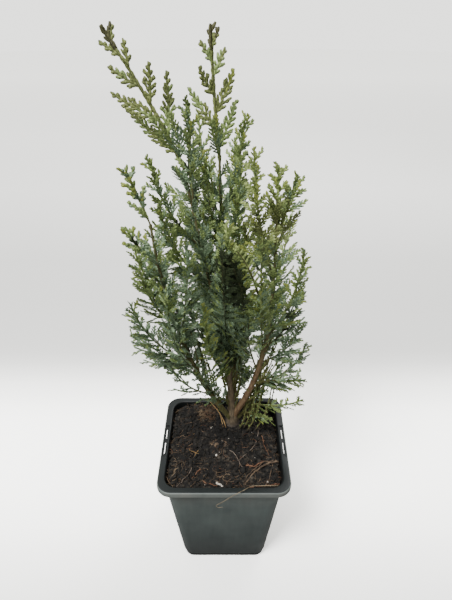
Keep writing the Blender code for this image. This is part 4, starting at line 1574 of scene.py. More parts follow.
# Sprays set straight on the limbs
SPURS = (
    Stretch("trunk", Section.MIDDLE, 0.36, 0.97, 25, Tint.BLUE, 3.4, 0.7),
    Stretch("left_leader", Section.MIDDLE, 0.10, 0.97, 24, Tint.BLUE, 3.4, 0.7),
    Stretch("right_bough", Section.RIGHT, 0.46, 0.98, 19, Tint.GREEN, 4.2, 0.6),
    Stretch("left_bough", Section.LEFT, 0.34, 0.96, 20, Tint.BLUE, 4.4, 0.8),
    Stretch("back_bough", Section.BACK, 0.12, 0.98, 26, Tint.BLUE, 3.6, 0.8),
    # Rows behind the crown, whose low last value gives their leaves more painted shade
    Stretch("trunk", Section.BACK, 0.34, 0.62, 34, Tint.BLUE, 2.6, 0.2),
    Stretch("left_bough", Section.BACK, 0.40, 0.92, 20, Tint.BLUE, 2.8, 0.2),
    Stretch("left_leader", Section.BACK, 0.02, 0.85, 20, Tint.BLUE, 2.8, 0.2),
    Stretch("right_bough", Section.BACK, 0.55, 0.96, 17, Tint.GREEN, 3.0, 0.3),
)

# Fans that lie over the upper limbs
COVERS = (
    Stretch("trunk", Section.MIDDLE, 0.34, 0.98, 26, Tint.BLUE),
    Stretch("left_leader", Section.MIDDLE, 0.10, 1.0, 26, Tint.BLUE),
    Stretch("left_bough", Section.LEFT, 0.42, 0.98, 24, Tint.BLUE),
    Stretch("right_bough", Section.RIGHT, 0.62, 0.98, 22, Tint.GREEN),
)


class Shoots(NamedTuple):
    """Bundle of slender shoots on the lower part of a limb, or out of the compost beside it."""

    limb: str
    section: Section
    count: int
    start: float
    end: float
    aside: float
    heading: float
    spread: float
    lean: float
    upright: float
    lengths: Span
    sizes: Span
    pitch: float
    bare: float
    olive: float


SHOOTS = (
    Shoots("low_shoot", Section.LOW, 16, 0.0, 0.20, 21, 5, 70, 0.28, 0.75, (26, 50), (1.4, 2.8), 3.8, 0.15,
           0.15),
    Shoots("low_shoot", Section.LOW, 12, 0.1, 0.75, 0, 10, 90, 0.34, 0.60, (24, 40), (1.6, 3.0), 3.8, 0.20,
           0.20),
    Shoots("left_bough", Section.LEFT, 14, 0.02, 0.26, 0, -160, 55, 0.16, 0.0, (30, 54), (1.6, 3.0), 5.0,
           0.42, 0.70),
    Shoots("left_bough", Section.LEFT, 10, 0.10, 0.40, 0, 0, 80, 0.24, 0.50, (26, 46), (1.6, 3.2), 4.6,
           0.30, 0.40),
    Shoots("trunk", Section.MIDDLE, 10, 0.13, 0.32, 0, 5, 50, 0.40, 0.10, (26, 52), (1.6, 3.2), 4.2, 0.3,
           0.2),
    Shoots("trunk", Section.MIDDLE, 9, 0.13, 0.32, 0, 175, 50, 0.36, 0.10, (26, 50), (1.6, 3.2), 4.2, 0.3,
           0.2),
    Shoots("right_bough", Section.RIGHT, 12, 0.10, 0.38, 0, -20, 90, 0.40, 0.0, (24, 44), (1.6, 3.2), 4.2,
           0.30, 0.2),
)


@dataclass(frozen=True)
class Hollow:
    """Painted shade on a gap that looks into the crown: a tilted oval whose leaves take one tone in it and
    another beyond it.
    """

    middle: Place
    wide: float
    tall: float
    lean: float
    ragged: float
    tongue: float
    deep: float
    core: Tone
    beyond: Tone
    axis: Place = (6.3, 255.5, -144.9)

    def tone_at(self, point: Vector) -> Tone | None:
        """Tone of the leaves at a point.

        Args:
            point: The point.

        Returns:
            The painted shade tone of its core, another far before or behind it, or None outside it.
        """
        along = Vector(self.axis).normalized()
        side = along.cross(UP).normalized()
        off = point - Vector(self.middle)
        upward = off.dot(side.cross(along))
        apart = math.hypot((off.dot(side) + self.lean * upward) / self.wide, upward / self.tall)
        if apart >= 1 + self.ragged * noise.noise(point / self.tongue):
            return None
        return self.core if abs(off.dot(along)) < self.deep else self.beyond


# Painted shade: the near black hollow beside the pale comb, and olive leaves in the shade under the pale
# top
PAINTED_SHADE_ZONES = (
    Hollow((6.2, 15.0, 217.0), 6.6, 15.5, 0.30, 0.6, 4.0, 17.0, Tone.DEEP, Tone.SHADE),
    Hollow((25.8, 5.0, 260.0), 12.5, 9.5, -0.20, 1.6, 3.0, 12.0, Tone.OLIVE, Tone.OLIVE),
)


class Habit(NamedTuple):
    """How close, how stout and how long the cords of a mass are."""

    width: float
    pitch: float
    stub_pitch: float
    stub_length: Span
    stub_from: float
    longest: float
    longest_share: float
    angle: float
    stretch: float


STOUT = Habit(1.85, 1.80, 2.4, (1.4, 2.6), 3.6, 9.2, 0.42, 33.0, 1.50)
MEDIUM = Habit(1.22, 1.36, 2.6, (1.1, 2.1), 4.4, 11.0, 0.50, 28.0, 1.60)
FINE = Habit(1.08, 1.26, 2.7, (0.9, 1.7), 4.8, 12.0, 0.54, 26.0, 1.70)
STRAND = Habit(1.15, 2.4, 2.8, (1.0, 1.7), 4.0, 6.5, 0.4, 30.0, 1.60)
COMB = Habit(1.85, 2.00, 2.6, (1.2, 2.0), 4.2, 9.5, 0.34, 52.0, 1.45)
HABITS = {Tint.BLUE: FINE, Tint.LEADER: STOUT}


class Growth(NamedTuple):
    """What the cords of one mass share: their part of the crown, habit, colour and random draws."""

    section: Section
    habit: Habit
    tint: Tint
    chance: random.Random
    leader: bool = False
    # Whether its leaves stay clear of the painted shade zones
    clear: bool = False


class Stem(NamedTuple):
    """Stem that bears twigs: its line and length, and how far they reach and which way they face."""

    line: Path
    length: float
    reach: float
    facing: float


def leaf_unit() -> Shape:
    """Pair of side leaves under one flat leaf a side, of unit size, pointing to +X."""
    outline = ((-0.12, 0.34), (0.62, 0.50), (1.08, 0.26))
    outline += tuple((x, -y) for x, y in reversed(outline))
    points = [Vector((x, y, 0.0)) for x, y in outline]
    points += [Vector((0.62, 0.0, 0.5)), Vector((0.62, 0.0, -0.5))]
    faces: list[tuple[int, ...]] = []
    for i in range(len(outline)):
        j = (i + 1) % len(outline)
        faces += [(i, j, len(outline) + 1), (j, i, len(outline))]
    return Shape(points, faces)


def cord_tree() -> NodeTree:
    """Tree that sets a unit of scale leaves on every point, turned and sized as it says."""
    graph, given = new_tree("scale_leaf_cords", (
        ("Scale leaves", "Object", None), ("Least size", "Float", 0.92),
        ("Greatest size", "Float", 1.10), ("Seed", "Int", 3), ("Finish", "Material", None)))
    turn, size = (graph.node("GeometryNodeInputNamedAttribute", {"Name": name}, data_type="FLOAT_VECTOR")
                  for name in ("turn", "size"))
    uneven = graph.node("FunctionNodeRandomValue", {2: given["Least size"], 3: given["Greatest size"],
                                                    "Seed": given["Seed"]}, output=1, data_type="FLOAT")
    scale = graph.node("ShaderNodeVectorMath", {0: size, "Scale": uneven}, operation="SCALE")
    unit = graph.node("GeometryNodeObjectInfo", {"Object": given["Scale leaves"]}, output="Geometry")
    rotation = graph.node("FunctionNodeEulerToRotation", {"Euler": turn})
    placed = graph.node("GeometryNodeInstanceOnPoints",
                        {"Points": given["Geometry"], "Instance": unit, "Rotation": rotation,
                         "Scale": scale})
    end_tree(graph, placed, given["Finish"])
    return graph.tree


@dataclass
class Sprays:
    """Foliage: flat sprays of cords clothed in overlapping scale leaves."""

    plan: Plan
    low: Vector
    high: Vector
    box_margin: float = 1.2
    sunlit_from: float = 195.0
    twig_angle: float = 44.0
    twig_sway: float = 4.0
    twig_curl: float = 10.0
    twig_bow: float = 0.14
    twig_steps: int = 6
    spray_reach: float = 0.86
    between_place: float = 0.85
    between_reach: Span = (0.50, 0.86)
    branchlet_curl: float = 6.0
    branchlet_bow: float = 0.12
    shortest_branchlet: float = 1.9
    lower_side: float = 0.80
    young_share: float = 0.72
    changing_share: float = 0.22
    first_branchlet: float = 1.3
    bare_tip: float = 1.0
    fan_foot: float = 0.62
    fan_widening: float = 1.5
    fan_uneven: Span = (0.82, 1.06)
    fan_point: float = 0.75
    stub_angle: float = 26.0
    thickness: float = 0.42
    overlap: float = 1.12
    cord_taper: float = 0.22
    stem_width: float = 1.7
    stem_stretch: float = 1.4
    stem_bare: float = 0.10
    wood_radius: Span = (0.62, 0.30)
    leader_stem: float = 2.5
    leader_angle: float = 33.0
    leader_reach: float = 1.14
    leader_joint: float = 0.2
    brown_from: float = 0.84
    brown_sprays_from: float = 0.78
    tuft_from: float = 0.6
    leader_tuft_from: float = 0.86
    tuft_sway: float = 50.0
    tuft_sizes: Span = (3.5, 6.5)
    tuft_pitch: Span = (1.7, 2.6)
    side_stem_from: float = 38.0
    side_stem_shares: Span = (0.12, 0.34)
    side_stem_length: float = 0.52
    side_stem_reach: float = 0.52
    side_stem_lean: float = 20.0
    side_stem_bare: float = 0.35
    side_stem_pitch: float = 0.55
    overlay_pitch: float = 5.6
    overlay_back: float = 1.5
    overlay_reach: float = 0.85
    overlay_sway: float = 20.0
    overlay_angle: float = 36.0
    overlay_curl: float = 24.0
    shortest_overlay: float = 8.0
    spur_turn: float = 137.5
    spur_front: float = 0.35
    spur_flatness: float = 0.5
    face_turn: float = 28.0
    spur_angles: Span = (40.0, 58.0)
    spur_curl: float = 26.0
    shoot_steps: int = 7
    shoot_sway: float = 55.0
    frond_rise: float = 30.0
    leaves: dict[tuple[Section, Tone], list[tuple[Vector, Vector, Vector]]] = field(
        default_factory=lambda: defaultdict(list))
    owners: dict[tuple[Section, Tone], set[str]] = field(default_factory=lambda: defaultdict(set))
    wood: dict[Section, Shape] = field(default_factory=lambda: defaultdict(Shape))
    bark: BarkFinish = BarkFinish("twig_bark", (0.045, 0.040, 0.012), (0.115, 0.108, 0.032),
                                  (0.170, 0.160, 0.055), 3.0)

    def section_of(self, mass: Mass) -> Section:
        """Part of the crown that a mass belongs to."""
        if mass.facing > 0:
            return Section.BACK
        by_parent = {"low_shoot": Section.LOW, "right_bough": Section.RIGHT, "left_bough": Section.LEFT}
        return by_parent.get(mass.parent, Section.MIDDLE)

    def inside(self, point: Vector) -> bool:
        """Whether a point lies in the frame's box."""
        return all(low + self.box_margin <= value <= high - self.box_margin
                   for low, value, high in zip(self.low, point, self.high))

    def within(self, path: Path) -> Path:
        """Path cut short where it would leave the frame's box."""
        while len(path) > 3 and not self.inside(path[-1]):
            path = path[:-1]
        return path

    def deal_tone(self, growth: Growth, outward: float) -> Tone:
        """Tone of a branchlet.

        Args:
            growth: What its mass's cords share.
            outward: 0 next to the limbs, 1 at the crown's outside.

        Returns:
            The tone.
        """
        tint = growth.tint
        draw = growth.chance.random()
        # Painted shade: the innermost branchlets may take the dark leaf
        if draw < INNER_SHADE[tint] * (1 - outward) ** 2:
            return Tone.SHADE
        draw = growth.chance.random()
        if outward > 0.9 and draw < FRESH_TIPS[tint]:
            return Tone.FRESH
        if tint is Tint.PALE:
            return Tone.PALE if draw < 0.25 + 0.7 * outward else Tone.GREEN
        if tint is Tint.LEADER:
            return Tone.OLIVE if draw < 0.62 + 0.25 * outward else Tone.GREEN
        if tint in (Tint.GREEN, Tint.YOUNG):
            return Tone.GREEN if draw < 0.15 + 0.85 * outward else Tone.BLUE
        return Tone.GREEN if draw < 0.85 * outward - 0.30 else Tone.BLUE

    def clothe(self, growth: Growth, path: Path, flat: Vector, tone: Tone, stout: float = 1.0) -> None:
        """Lay scale leaves along a cord.

        Args:
            growth: What its mass's cords share.
            path: The cord's line.
            flat: Out of the spray's plane.
            tone: Tone of its leaves, except in a painted shade zone, which gives its own.
            stout: Its width against its habit's.
        """
        width = growth.habit.width * stout
        length = path_length(path)
        count = max(1, round(length / (width * growth.habit.stretch)))
        for i in range(count):
            share = i / count
            root, ahead = point_at(path, share)
            if not self.inside(root + ahead * length / count):
                break
            across = flat.cross(ahead).normalized()
            turn = Matrix((ahead, across, ahead.cross(across))).transposed().to_euler()
            wide = width * (1 - self.cord_taper * share)
            laid = tone
            # Painted shade zones override the tone, but not on fronds kept clear of them
            for hollow in () if growth.clear else PAINTED_SHADE_ZONES:
                laid = hollow.tone_at(root) or laid
            size = Vector((length / count * self.overlap, wide, wide * self.thickness))
            self.leaves[(growth.section, laid)].append((root, Vector(turn), size))

    def branchlet(self, growth: Growth, tone: Tone, fork: Fork, size: float) -> None:
        """Branchlet with short stubs on both sides.

        Args:
            growth: What its mass's cords share.
            tone: Its tone.
            fork: Where it leaves its twig.
            size: Its length.
        """
        habit, chance = growth.habit, growth.chance
        angle = habit.angle + sway(chance, self.twig_sway)
        path = fork.curve(size, angle, self.branchlet_curl, 3, sway(chance, self.branchlet_bow))
        if not self.inside(path[-1]):
            return
        self.clothe(growth, path, fork.flat, tone)
        if size < habit.stub_from:
            return
        for along, side in in_turn(habit.stub_pitch * chance.uniform(0.7, 1.2), size - 1.2,
                                   chance.choice((-1, 1)),
                                   lambda: habit.stub_pitch * chance.uniform(0.85, 1.15)):
            stub = Fork.on(path, along / size, fork.flat, side)
            length = chance.uniform(*habit.stub_length) * (1.2 - 0.6 * along / size)
            self.clothe(growth, stub.curve(length, self.stub_angle, 0, 1), fork.flat, tone, 0.9)

    def feather(self, growth: Growth, path: Path, flat: Vector, outward: float, outer: float,
                end: Tone | None = None) -> None:
        """Clothe a twig and set branchlets down both sides of it.

        Args:
            growth: What its mass's cords share.
            path: The twig's path.
            flat: Out of the spray's plane.
            outward: How near the twig's root is to the crown's outside.
            outer: How near its tip is.
            end: Tone of the outer end, where it differs.
        """
        habit, chance = growth.habit, growth.chance
        path = self.within(path)
        reach = path_length(path)
        main = self.deal_tone(growth, outward)
        tip = end or self.deal_tone(growth, outer)
        half = len(path) // 2
        self.clothe(growth, path[:half + 1], flat, main, 1.05)
        self.clothe(growth, path[half:], flat, tip)
        longest = min(habit.longest, reach * habit.longest_share)
        tone = main
        for along, side in in_turn(self.first_branchlet, reach - self.bare_tip, chance.choice((-1, 1)),
                                   lambda: habit.pitch * chance.uniform(0.9, 1.1)):
            share = along / reach
            fork = Fork.on(path, share, flat, side)
            spread = min(1.0, self.fan_foot + self.fan_widening * share)
            size = longest * spread * (1 - share) ** self.fan_point
            upper = 1.0 if fork.across.z > 0 else self.lower_side
            size = max(self.shortest_branchlet, size * chance.uniform(*self.fan_uneven) * upper)
            if share > self.young_share:
                tone = tip
            elif chance.random() < self.changing_share:
                tone = self.deal_tone(growth, outward + (outer - outward) * share)
            self.branchlet(growth, tone, fork, size)

    def grow(self, mass: Mass) -> None:
        """Grow all the twigs of a mass.

        Args:
            mass: The mass.
        """
        chance = random.Random(f"{mass.name} fine")
        leader = mass.name in LEADERS
        start, _ = point_at(self.plan.paths[mass.parent], mass.at)
        tint = mass.tint
        if tint is Tint.BLUE and start.z > self.sunlit_from:
            tint = Tint.GREEN
        if tint is Tint.LEADER and not leader:
            tint = Tint.YOUNG
        growth = Growth(self.section_of(mass), HABITS.get(mass.tint, MEDIUM), tint, chance, leader)
        path = self.plan.stem_path(mass)
        self.add_wood(growth.section, [start, *path])
        stem = Stem(refined(path, 4), mass.length, mass.reach, mass.facing)
        self.clothe_stem(growth, stem.line, stem.facing, 0.0 if leader else self.stem_bare)
        for twig in self.plan.twigs(mass, stem.line):
            self.spray(growth, twig)
            share = twig.share + self.between_place * self.plan.twig_pitch / mass.length
            if not (leader or twig.reach < self.plan.leaf_length * 0.8 or share > 0.96):
                self.spray(growth, twig.moved(stem.line, share), chance.uniform(*self.between_reach))
        self.tuft(growth, stem)
        if leader:
            self.overlay(growth._replace(tint=Tint.GREEN, habit=MEDIUM), stem, self.leader_joint)
        else:
            self.overlay(growth, stem)
        if mass.length > self.side_stem_from and growth.habit is FINE:
            for share, way in zip(self.side_stem_shares, (1, -1)):
                self.side_stem(growth, stem, share, way)

    def overlay(self, growth: Growth, stem: Stem, until: float = 1.0) -> None:
        """Fans over the outer side of a stem, one above another, which hide it.

        Args:
            growth: What its mass's cords share.
            stem: The stem.
            until: Share of the stem that they go up to.
        """
        chance = growth.chance
        pitch = self.overlay_pitch * (self.overlay_back if growth.section is Section.BACK else 1.0)
        for along, side in in_turn(self.overlay_pitch * 0.6, stem.length * until - 3.0,
                                   chance.choice((-1, 1)), lambda: pitch * chance.uniform(0.85, 1.15)):
            share = along / stem.length
            root, ahead = point_at(stem.line, share)
            facing = stem.facing + sway(chance, self.overlay_sway)
            flat = square_to(heading_vector(facing), ahead)
            out = (flat + flat.cross(ahead) * side * chance.uniform(0.1, 0.8)).normalized()
            reach = stem.reach * self.overlay_reach * (1 - share) ** 0.5 * chance.uniform(0.8, 1.1)
            path = Fork(root, ahead, out).curve(max(self.shortest_overlay, reach), self.overlay_angle,
                                                self.overlay_curl, 6)
            self.feather(growth, path, square_to(flat, chord(path)), 0.2 + 0.6 * share, 1.0)

    def fronds(self) -> None:
        """Single fronds, flat to the viewer in front and clear of the painted shade."""
        for i, row in enumerate(FRONDS):
            growth = Growth(row.section, COMB, row.tint, random.Random(f"frond {i}"), clear=True)
            path = refined([Vector(place) for place in row.places], 3)
            self.add_wood(row.section, path[::2])
            flat = square_to(heading_vector(FRONT, self.frond_rise), chord(path))
            self.feather(growth, path, flat, 0.88, 0.9)

    def cover_limbs(self) -> None:
        """Fans over the upper limbs, which would show bare through the crown."""
        for row in COVERS:
            growth = Growth(row.section, HABITS.get(row.tint, MEDIUM), row.tint,
                            random.Random(f"{row.limb} cover"))
            line = refined(self.plan.paths[row.limb], 2)
            first, last = (int(value * (len(line) - 1)) for value in (row.start, row.end))
            length = self.plan.limbs[row.limb].length * (row.end - row.start)
            self.overlay(growth, Stem(line[first:last + 1], length, row.reach, FRONT))

    def add_wood(self, section: Section, path: Path, slim: float = 1.0) -> None:
        """Add a twig's wood, at its foot as thick as given against a stem's."""
        thick, thin = self.wood_radius[0] * slim, self.wood_radius[1]
        self.wood[section].add(tube(refined(self.within(path), 4),
                                    lambda share: thick + (thin - thick) * share, 6))

    def clothe_stem(self, growth: Growth, line: Path, facing: float, begin: float) -> None:
        """Lay scale leaves along a stem, on both of its faces.

        Args:
            growth: What its mass's cords share.
            line: The stem's line.
            facing: Heading that its mass faces.
            begin: Share of the stem that stays bare.
        """
        leader = growth.tint is Tint.LEADER
        tone = {Tint.LEADER: Tone.OLIVE, Tint.BLUE: Tone.BLUE}.get(growth.tint, Tone.GREEN)
        habit = growth.habit._replace(width=self.leader_stem if leader else self.stem_width,
                                      stretch=self.stem_stretch)
        growth = growth._replace(habit=habit)
        top = round(len(line) * (self.brown_from if leader else 1.0))
        for turn in (0, 90):
            flat = heading_vector(facing + turn)
            self.clothe(growth, line[int(len(line) * begin):top], flat, tone)
            if top < len(line):
                self.clothe(growth, line[top - 1:], flat, Tone.BROWN)

    def side_stem(self, growth: Growth, stem: Stem, share: float, way: int) -> None:
        """Shorter stem that leaves a mass's own and fills the depth of the mass.

        Args:
            growth: What its mass's cords share.
            stem: The mass's stem.
            share: Where it leaves that stem.
            way: 1 to lean out of the flat side, -1 to lean behind it.
        """
        chance = growth.chance
        root, ahead = point_at(stem.line, share)
        flat = square_to(heading_vector(stem.facing), ahead)
        length = stem.length * self.side_stem_length * chance.uniform(0.85, 1.05)
        lean = self.side_stem_lean * chance.uniform(0.7, 1.2)
        out = (flat * way + flat.cross(ahead) * sway(chance, 0.5)).normalized()
        path = Fork(root, ahead, out).curve(length, lean, lean * 1.1, 7)
        self.add_wood(growth.section, path, 0.7)
        line = refined(path, 3)
        self.clothe_stem(growth, line, stem.facing, self.side_stem_bare)
        pitch = self.plan.twig_pitch * self.side_stem_pitch
        for along, side in in_turn(5.0, length - 3.0, chance.choice((-1, 1)), lambda: pitch):
            place = along / length
            start, onward = point_at(line, place)
            turn = math.radians(sway(chance, self.face_turn))
            face = Matrix.Rotation(turn, 3, onward) @ square_to(flat, onward)
            reach = stem.reach * self.side_stem_reach * (1 - place) ** 0.6 * chance.uniform(0.8, 1.1)
            fork = Fork(start, onward, face.cross(onward) * side, face)
            self.spray(growth, Twig(share + (1 - share) * place, fork, max(7.0, reach)))

    def spray(self, growth: Growth, twig: Twig, part: float = 1.0) -> None:
        """Grow one twig with all that it carries.

        Args:
            growth: What its mass's cords share.
            twig: Where it leaves and how far it reaches.
            part: Share of that reach that it grows to.
        """
        leader, chance = growth.leader, growth.chance
        reach = max(5.0, twig.reach * part) * (self.leader_reach if leader else self.spray_reach)
        angle = self.leader_angle if leader else self.twig_angle
        angle += sway(chance, self.twig_sway)
        path = twig.fork.curve(reach, angle, self.twig_curl, self.twig_steps, sway(chance, self.twig_bow))
        end = Tone.BROWN if leader and twig.share > self.brown_sprays_from else None
        self.feather(growth, path, twig.fork.flat, min(1.0, 0.10 + 0.75 * twig.share), 1.0, end)

    def tuft(self, growth: Growth, stem: Stem) -> None:
        """Short branchlets straight on a stem, up to its tip.

        Args:
            growth: What its mass's cords share.
            stem: The stem.
        """
        chance = growth.chance
        start = stem.length * (self.leader_tuft_from if growth.leader else self.tuft_from)
        for along, side in in_turn(start, stem.length - 1.0, 1, lambda: chance.uniform(*self.tuft_pitch)):
            share = along / stem.length
            facing = stem.facing + sway(chance, self.tuft_sway)
            fork = Fork.facing(stem.line, share, facing, side)
            tone = self.deal_tone(growth, 0.3 + share * 0.7)
            if growth.leader and share > self.brown_from:
                tone = Tone.BROWN
            self.branchlet(growth, tone, fork, chance.uniform(*self.tuft_sizes) * (1.1 - 0.55 * share))

    def spurs(self) -> None:
        """Sprays straight on the limbs, turning round them, which hide the wood in the crown."""
        for row in SPURS:
            chance = random.Random(f"{row.limb} spurs {row.pitch}")
            count = round(self.plan.limbs[row.limb].length * (row.end - row.start) / row.pitch)
            turn = chance.uniform(0, 360)
            for i in range(count):
                share = row.start + (row.end - row.start) * (i + 0.5) / count
                root, ahead = point_at(self.plan.paths[row.limb], share)
                turn += self.spur_turn
                out = heading_vector(turn)
                front = out.y < self.spur_front
                if front:
                    out.y *= self.spur_flatness
                facing = sway(chance, self.face_turn) + (FRONT if front else -FRONT)
                reach = chance.uniform(0.75, 1.1) * row.reach * (1 - 0.35 * share)
                path = Fork(root, ahead, square_to(out, ahead)).curve(
                    reach, chance.uniform(*self.spur_angles), self.spur_curl, 6)
                tint = Tint.GREEN if root.z > self.sunlit_from else row.tint
                growth = Growth(row.section if front else Section.BACK, FINE, tint, chance)
                # Spurs sit next to the limbs, so their leaves often take painted shade
                self.feather(growth, path, square_to(heading_vector(facing), chord(path)), 0.1, row.outer)

    def basal_shoots(self) -> None:
        """Slender shoots that stand close along the lower limbs, clothed from foot to tip."""
        for row in SHOOTS:
            chance = random.Random(f"{row.limb} shoots {row.heading}")
            for i in range(row.count):
                share = row.start + (row.end - row.start) * (i + chance.random()) / row.count
                root, along = point_at(self.plan.paths[row.limb], share)
                way = heading_vector(row.heading + sway(chance, row.spread), 0.3)
                if row.aside:
                    root = root + way * chance.uniform(0.25, 1.0) * row.aside
                    root.z = self.plan.foot.z - 0.5
                along = along.lerp(UP, row.upright)
                out = square_to(way, along)
                length = chance.uniform(*row.lengths)
                path = [root]
                for step in range(self.shoot_steps):
                    onward = along + out * (row.lean - 0.06 * step) + UP * 0.05 * step
                    path.append(path[-1] + onward.normalized() * length / self.shoot_steps)
                if self.inside(path[-1]):
                    self.shoot(row, refined(path, 2), length, chance)

    def shoot(self, row: Shoots, path: Path, length: float, chance: random.Random) -> None:
        """One slender shoot with short branchlets.

        Args:
            row: The bundle that it belongs to.
            path: Its line.
            length: Its length.
            chance: Source of random draws.
        """
        growth = Growth(row.section, STRAND, Tint.GREEN, chance)
        self.add_wood(row.section, path[::2])
        tone = Tone.OLIVE if chance.random() < row.olive else Tone.GREEN
        for turn in (0, 90):
            self.clothe(growth, path[2:], heading_vector(turn + FRONT), tone)
        for along, side in in_turn(length * row.bare, length - 1.5, 1,
                                   lambda: row.pitch * chance.uniform(0.8, 1.2)):
            facing = FRONT + sway(chance, self.shoot_sway)
            fork = Fork.facing(path, along / length, facing, side)
            size = chance.uniform(*row.sizes) * (1.1 - 0.5 * along / length)
            branch = tone if chance.random() < 0.6 else self.deal_tone(growth, 0.5)
            self.branchlet(growth, branch, fork, size)

    def build(self) -> list[Object]:
        """Grow every mass, then build and dress the pieces.

        Returns:
            A piece of twig wood and several of leaves for each part of the crown.
        """
        for mass in MASSES:
            before = {key: len(rows) for key, rows in self.leaves.items()}
            self.grow(mass)
            for key, rows in self.leaves.items():
                if len(rows) > before.get(key, 0):
                    self.owners[key].add(mass.name)
        for mass in FILLS:
            self.grow(mass)
        self.fronds()
        self.spurs()
        self.cover_limbs()
        self.basal_shoots()
        unit = leaf_unit().piece("scale_leaves", smooth_below=None)
        unit.data.transform(Matrix.Scale(1 / MM, 4))
        tree = cord_tree()
        materials = {tone: tone.value.material() for tone in Tone}
        pieces = []
        for (section, tone), rows in sorted(self.leaves.items(), key=lambda item: str(item[0])):
            name = f"{section.value}_{tone.value.name}"
            piece = Shape([place for place, _, _ in rows]).piece(name, smooth_below=None)
            for label, column, factor in (("turn", 1, 1.0), ("size", 2, MM)):
                data = piece.data.attributes.new(label, "FLOAT_VECTOR", "POINT").data
                data.foreach_set("vector", [c * factor for row in rows for c in row[column]])
            use_tree(piece, tree, {"Scale leaves": unit, "Finish": materials[tone]})
            pieces.append(dress_piece(piece, tone.value.slot, sorted(self.owners[(section, tone)])))
        discard(unit)
        wood = self.bark.material()
        for section, shape in self.wood.items():
            pieces.append(dress_piece(shape.piece(f"{section.value}_twig_wood", wood), "bark"))
        return pieces


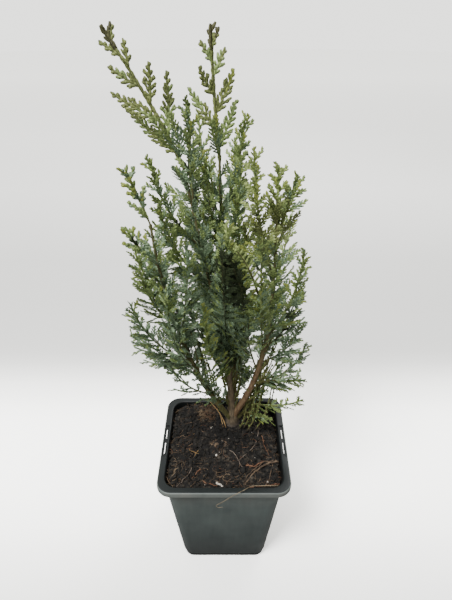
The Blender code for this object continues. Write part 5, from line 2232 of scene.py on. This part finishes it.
@dataclass
class Studio:
    """Pale floor whose colour paints light, soft light, and the camera at the photograph's angle."""

    lens: float = 28.26
    sensor: float = 36.0
    camera_place: Place = (1.35, -240.5, 361.9)
    camera_pitch: float = 58.6
    floor_radius: float = 6000.0
    backdrop: float = 2.30
    floor_span: Span = (-0.3, 4.7)
    # Painted light on the floor the camera sees: place along Y in metres and brightness, raised where the
    # lamps' light falls off
    floor_tones: tuple[Span, ...] = (
        (-0.100, 1.00), (-0.060, 1.19), (-0.029, 1.46), (-0.006, 1.70), (0.035, 1.93),
        (0.083, 2.00), (0.121, 1.97), (0.142, 1.67), (0.166, 1.41), (0.189, 1.07), (0.216, 0.77),
        (0.250, 0.72), (0.350, 0.72), (0.484, 0.78), (0.850, 1.18), (1.400, 1.50), (3.100, 1.95))
    sky: tuple[tuple[float, Colour], ...] = ((0.0, (0.06, 0.06, 0.06)), (0.5, (0.25, 0.25, 0.245)),
                                            (0.75, (0.80, 0.80, 0.78)), (1.0, (1.70, 1.70, 1.67)))
    aim: Place = (0.0, 0.0, 180.0)
    lamps: tuple[tuple[str, Place, float, float], ...] = (
        ("key", (-420.0, -480.0, 1200.0), 420.0, 30.0), ("rim", (500.0, 700.0, 900.0), 500.0, 5.0))

    def floor(self) -> None:
        """Round floor, paler near the pot than farther back, whose colour for camera rays is painted light
        that makes up for the lamps' fall-off; other rays see plain grey.
        """
        ring = [Vector((math.cos(a), math.sin(a), 0)) * self.floor_radius
                for a in (math.tau * i / 64 for i in range(64))]
        surface = Surface("studio_floor")
        near, far = self.floor_span
        back = surface.node("ShaderNodeSeparateXYZ", {0: surface.place}, output="Y")
        stops = [((y - near) / (far - near), (tone, tone, tone * 0.97)) for y, tone in self.floor_tones]
        painted_light = surface.ramp((back - near) * (1 / (far - near)), stops)
        seen = surface.node("ShaderNodeBsdfDiffuse", {"Color": painted_light})
        plain = surface.node("ShaderNodeBsdfDiffuse", {"Color": (0.22, 0.22, 0.215, 1.0)})
        # Camera rays see the painted light; light bouncing off the floor sees plain grey
        ray = surface.node("ShaderNodeLightPath", output="Is Camera Ray")
        both = surface.node("ShaderNodeMixShader", {0: ray, 1: plain, 2: seen})
        surface.feed(surface.tree.nodes["Material Output"].inputs["Surface"], both)
        floor = Shape(ring, [tuple(range(64))]).piece("floor", surface.material, None)
        floor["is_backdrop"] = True

    def sky_light(self) -> None:
        """Soft light from all round, stronger from above; the camera sees an even backdrop."""
        world = bpy.data.worlds.new("studio")
        world.use_nodes = True
        graph = Graph(world.node_tree)
        way = graph.node("ShaderNodeTexCoord", output="Generated")
        height = graph.node("ShaderNodeSeparateXYZ", {0: way}, output="Z")
        light = graph.node("ShaderNodeValToRGB", {0: height * 0.5 + 0.5}, stops=self.sky)
        ray = graph.node("ShaderNodeLightPath", output="Is Camera Ray")
        plain = (self.backdrop, self.backdrop, self.backdrop * 0.96, 1.0)
        colour = graph.node("ShaderNodeMix", {0: ray, 6: light, 7: plain}, output=2, data_type="RGBA")
        graph.feed(world.node_tree.nodes["Background"].inputs["Color"], colour)
        bpy.context.scene.world = world

    def light(self, name: str, place: Place, size: float, watts: float) -> None:
        """Square soft light that looks at the plant's middle.

        Args:
            name: Its name.
            place: Where it hangs.
            size: Its width.
            watts: Its power.
        """
        lamp = bpy.data.lights.new(name, "AREA")
        lamp.size = size * MM
        lamp.energy = watts
        made = place_object(name, lamp, place)
        aim = Vector(self.aim) * MM - made.location
        made.rotation_euler = aim.to_track_quat("-Z", "Y").to_euler()

    def build(self) -> None:
        """Set up floor, sky, lights and camera."""
        self.floor()
        self.sky_light()
        for lamp in self.lamps:
            self.light(*lamp)
        camera = bpy.data.cameras.new("camera")
        camera.lens = self.lens
        camera.sensor_width = self.sensor
        camera.clip_start = 0.01
        made = place_object("camera", camera, self.camera_place)
        made.rotation_euler = (math.radians(self.camera_pitch), 0.0, 0.0)
        bpy.context.scene.camera = made


def triangles(piece: Object) -> int:
    """Count of a piece's triangles."""
    return sum(len(face.vertices) - 2 for face in piece.data.polygons)


def main() -> None:
    """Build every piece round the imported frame, and report each."""
    logging.basicConfig(level=logging.INFO, format="%(message)s")
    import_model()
    frame_box = [list(corner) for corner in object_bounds()]
    low, high = (Vector(corner) / MM for corner in frame_box)
    plan = Plan()
    total = 0
    for maker in (Pot(), Compost(plan), Bark(plan), Sprays(plan, low, high)):
        for piece in maker.build():
            count = triangles(piece)
            total += count
            log.info("%s: %d triangles", piece.name, count)
    log.info("%d triangles in all", total)
    Studio().build()
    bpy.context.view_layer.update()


if __name__ == "__main__":
    main()
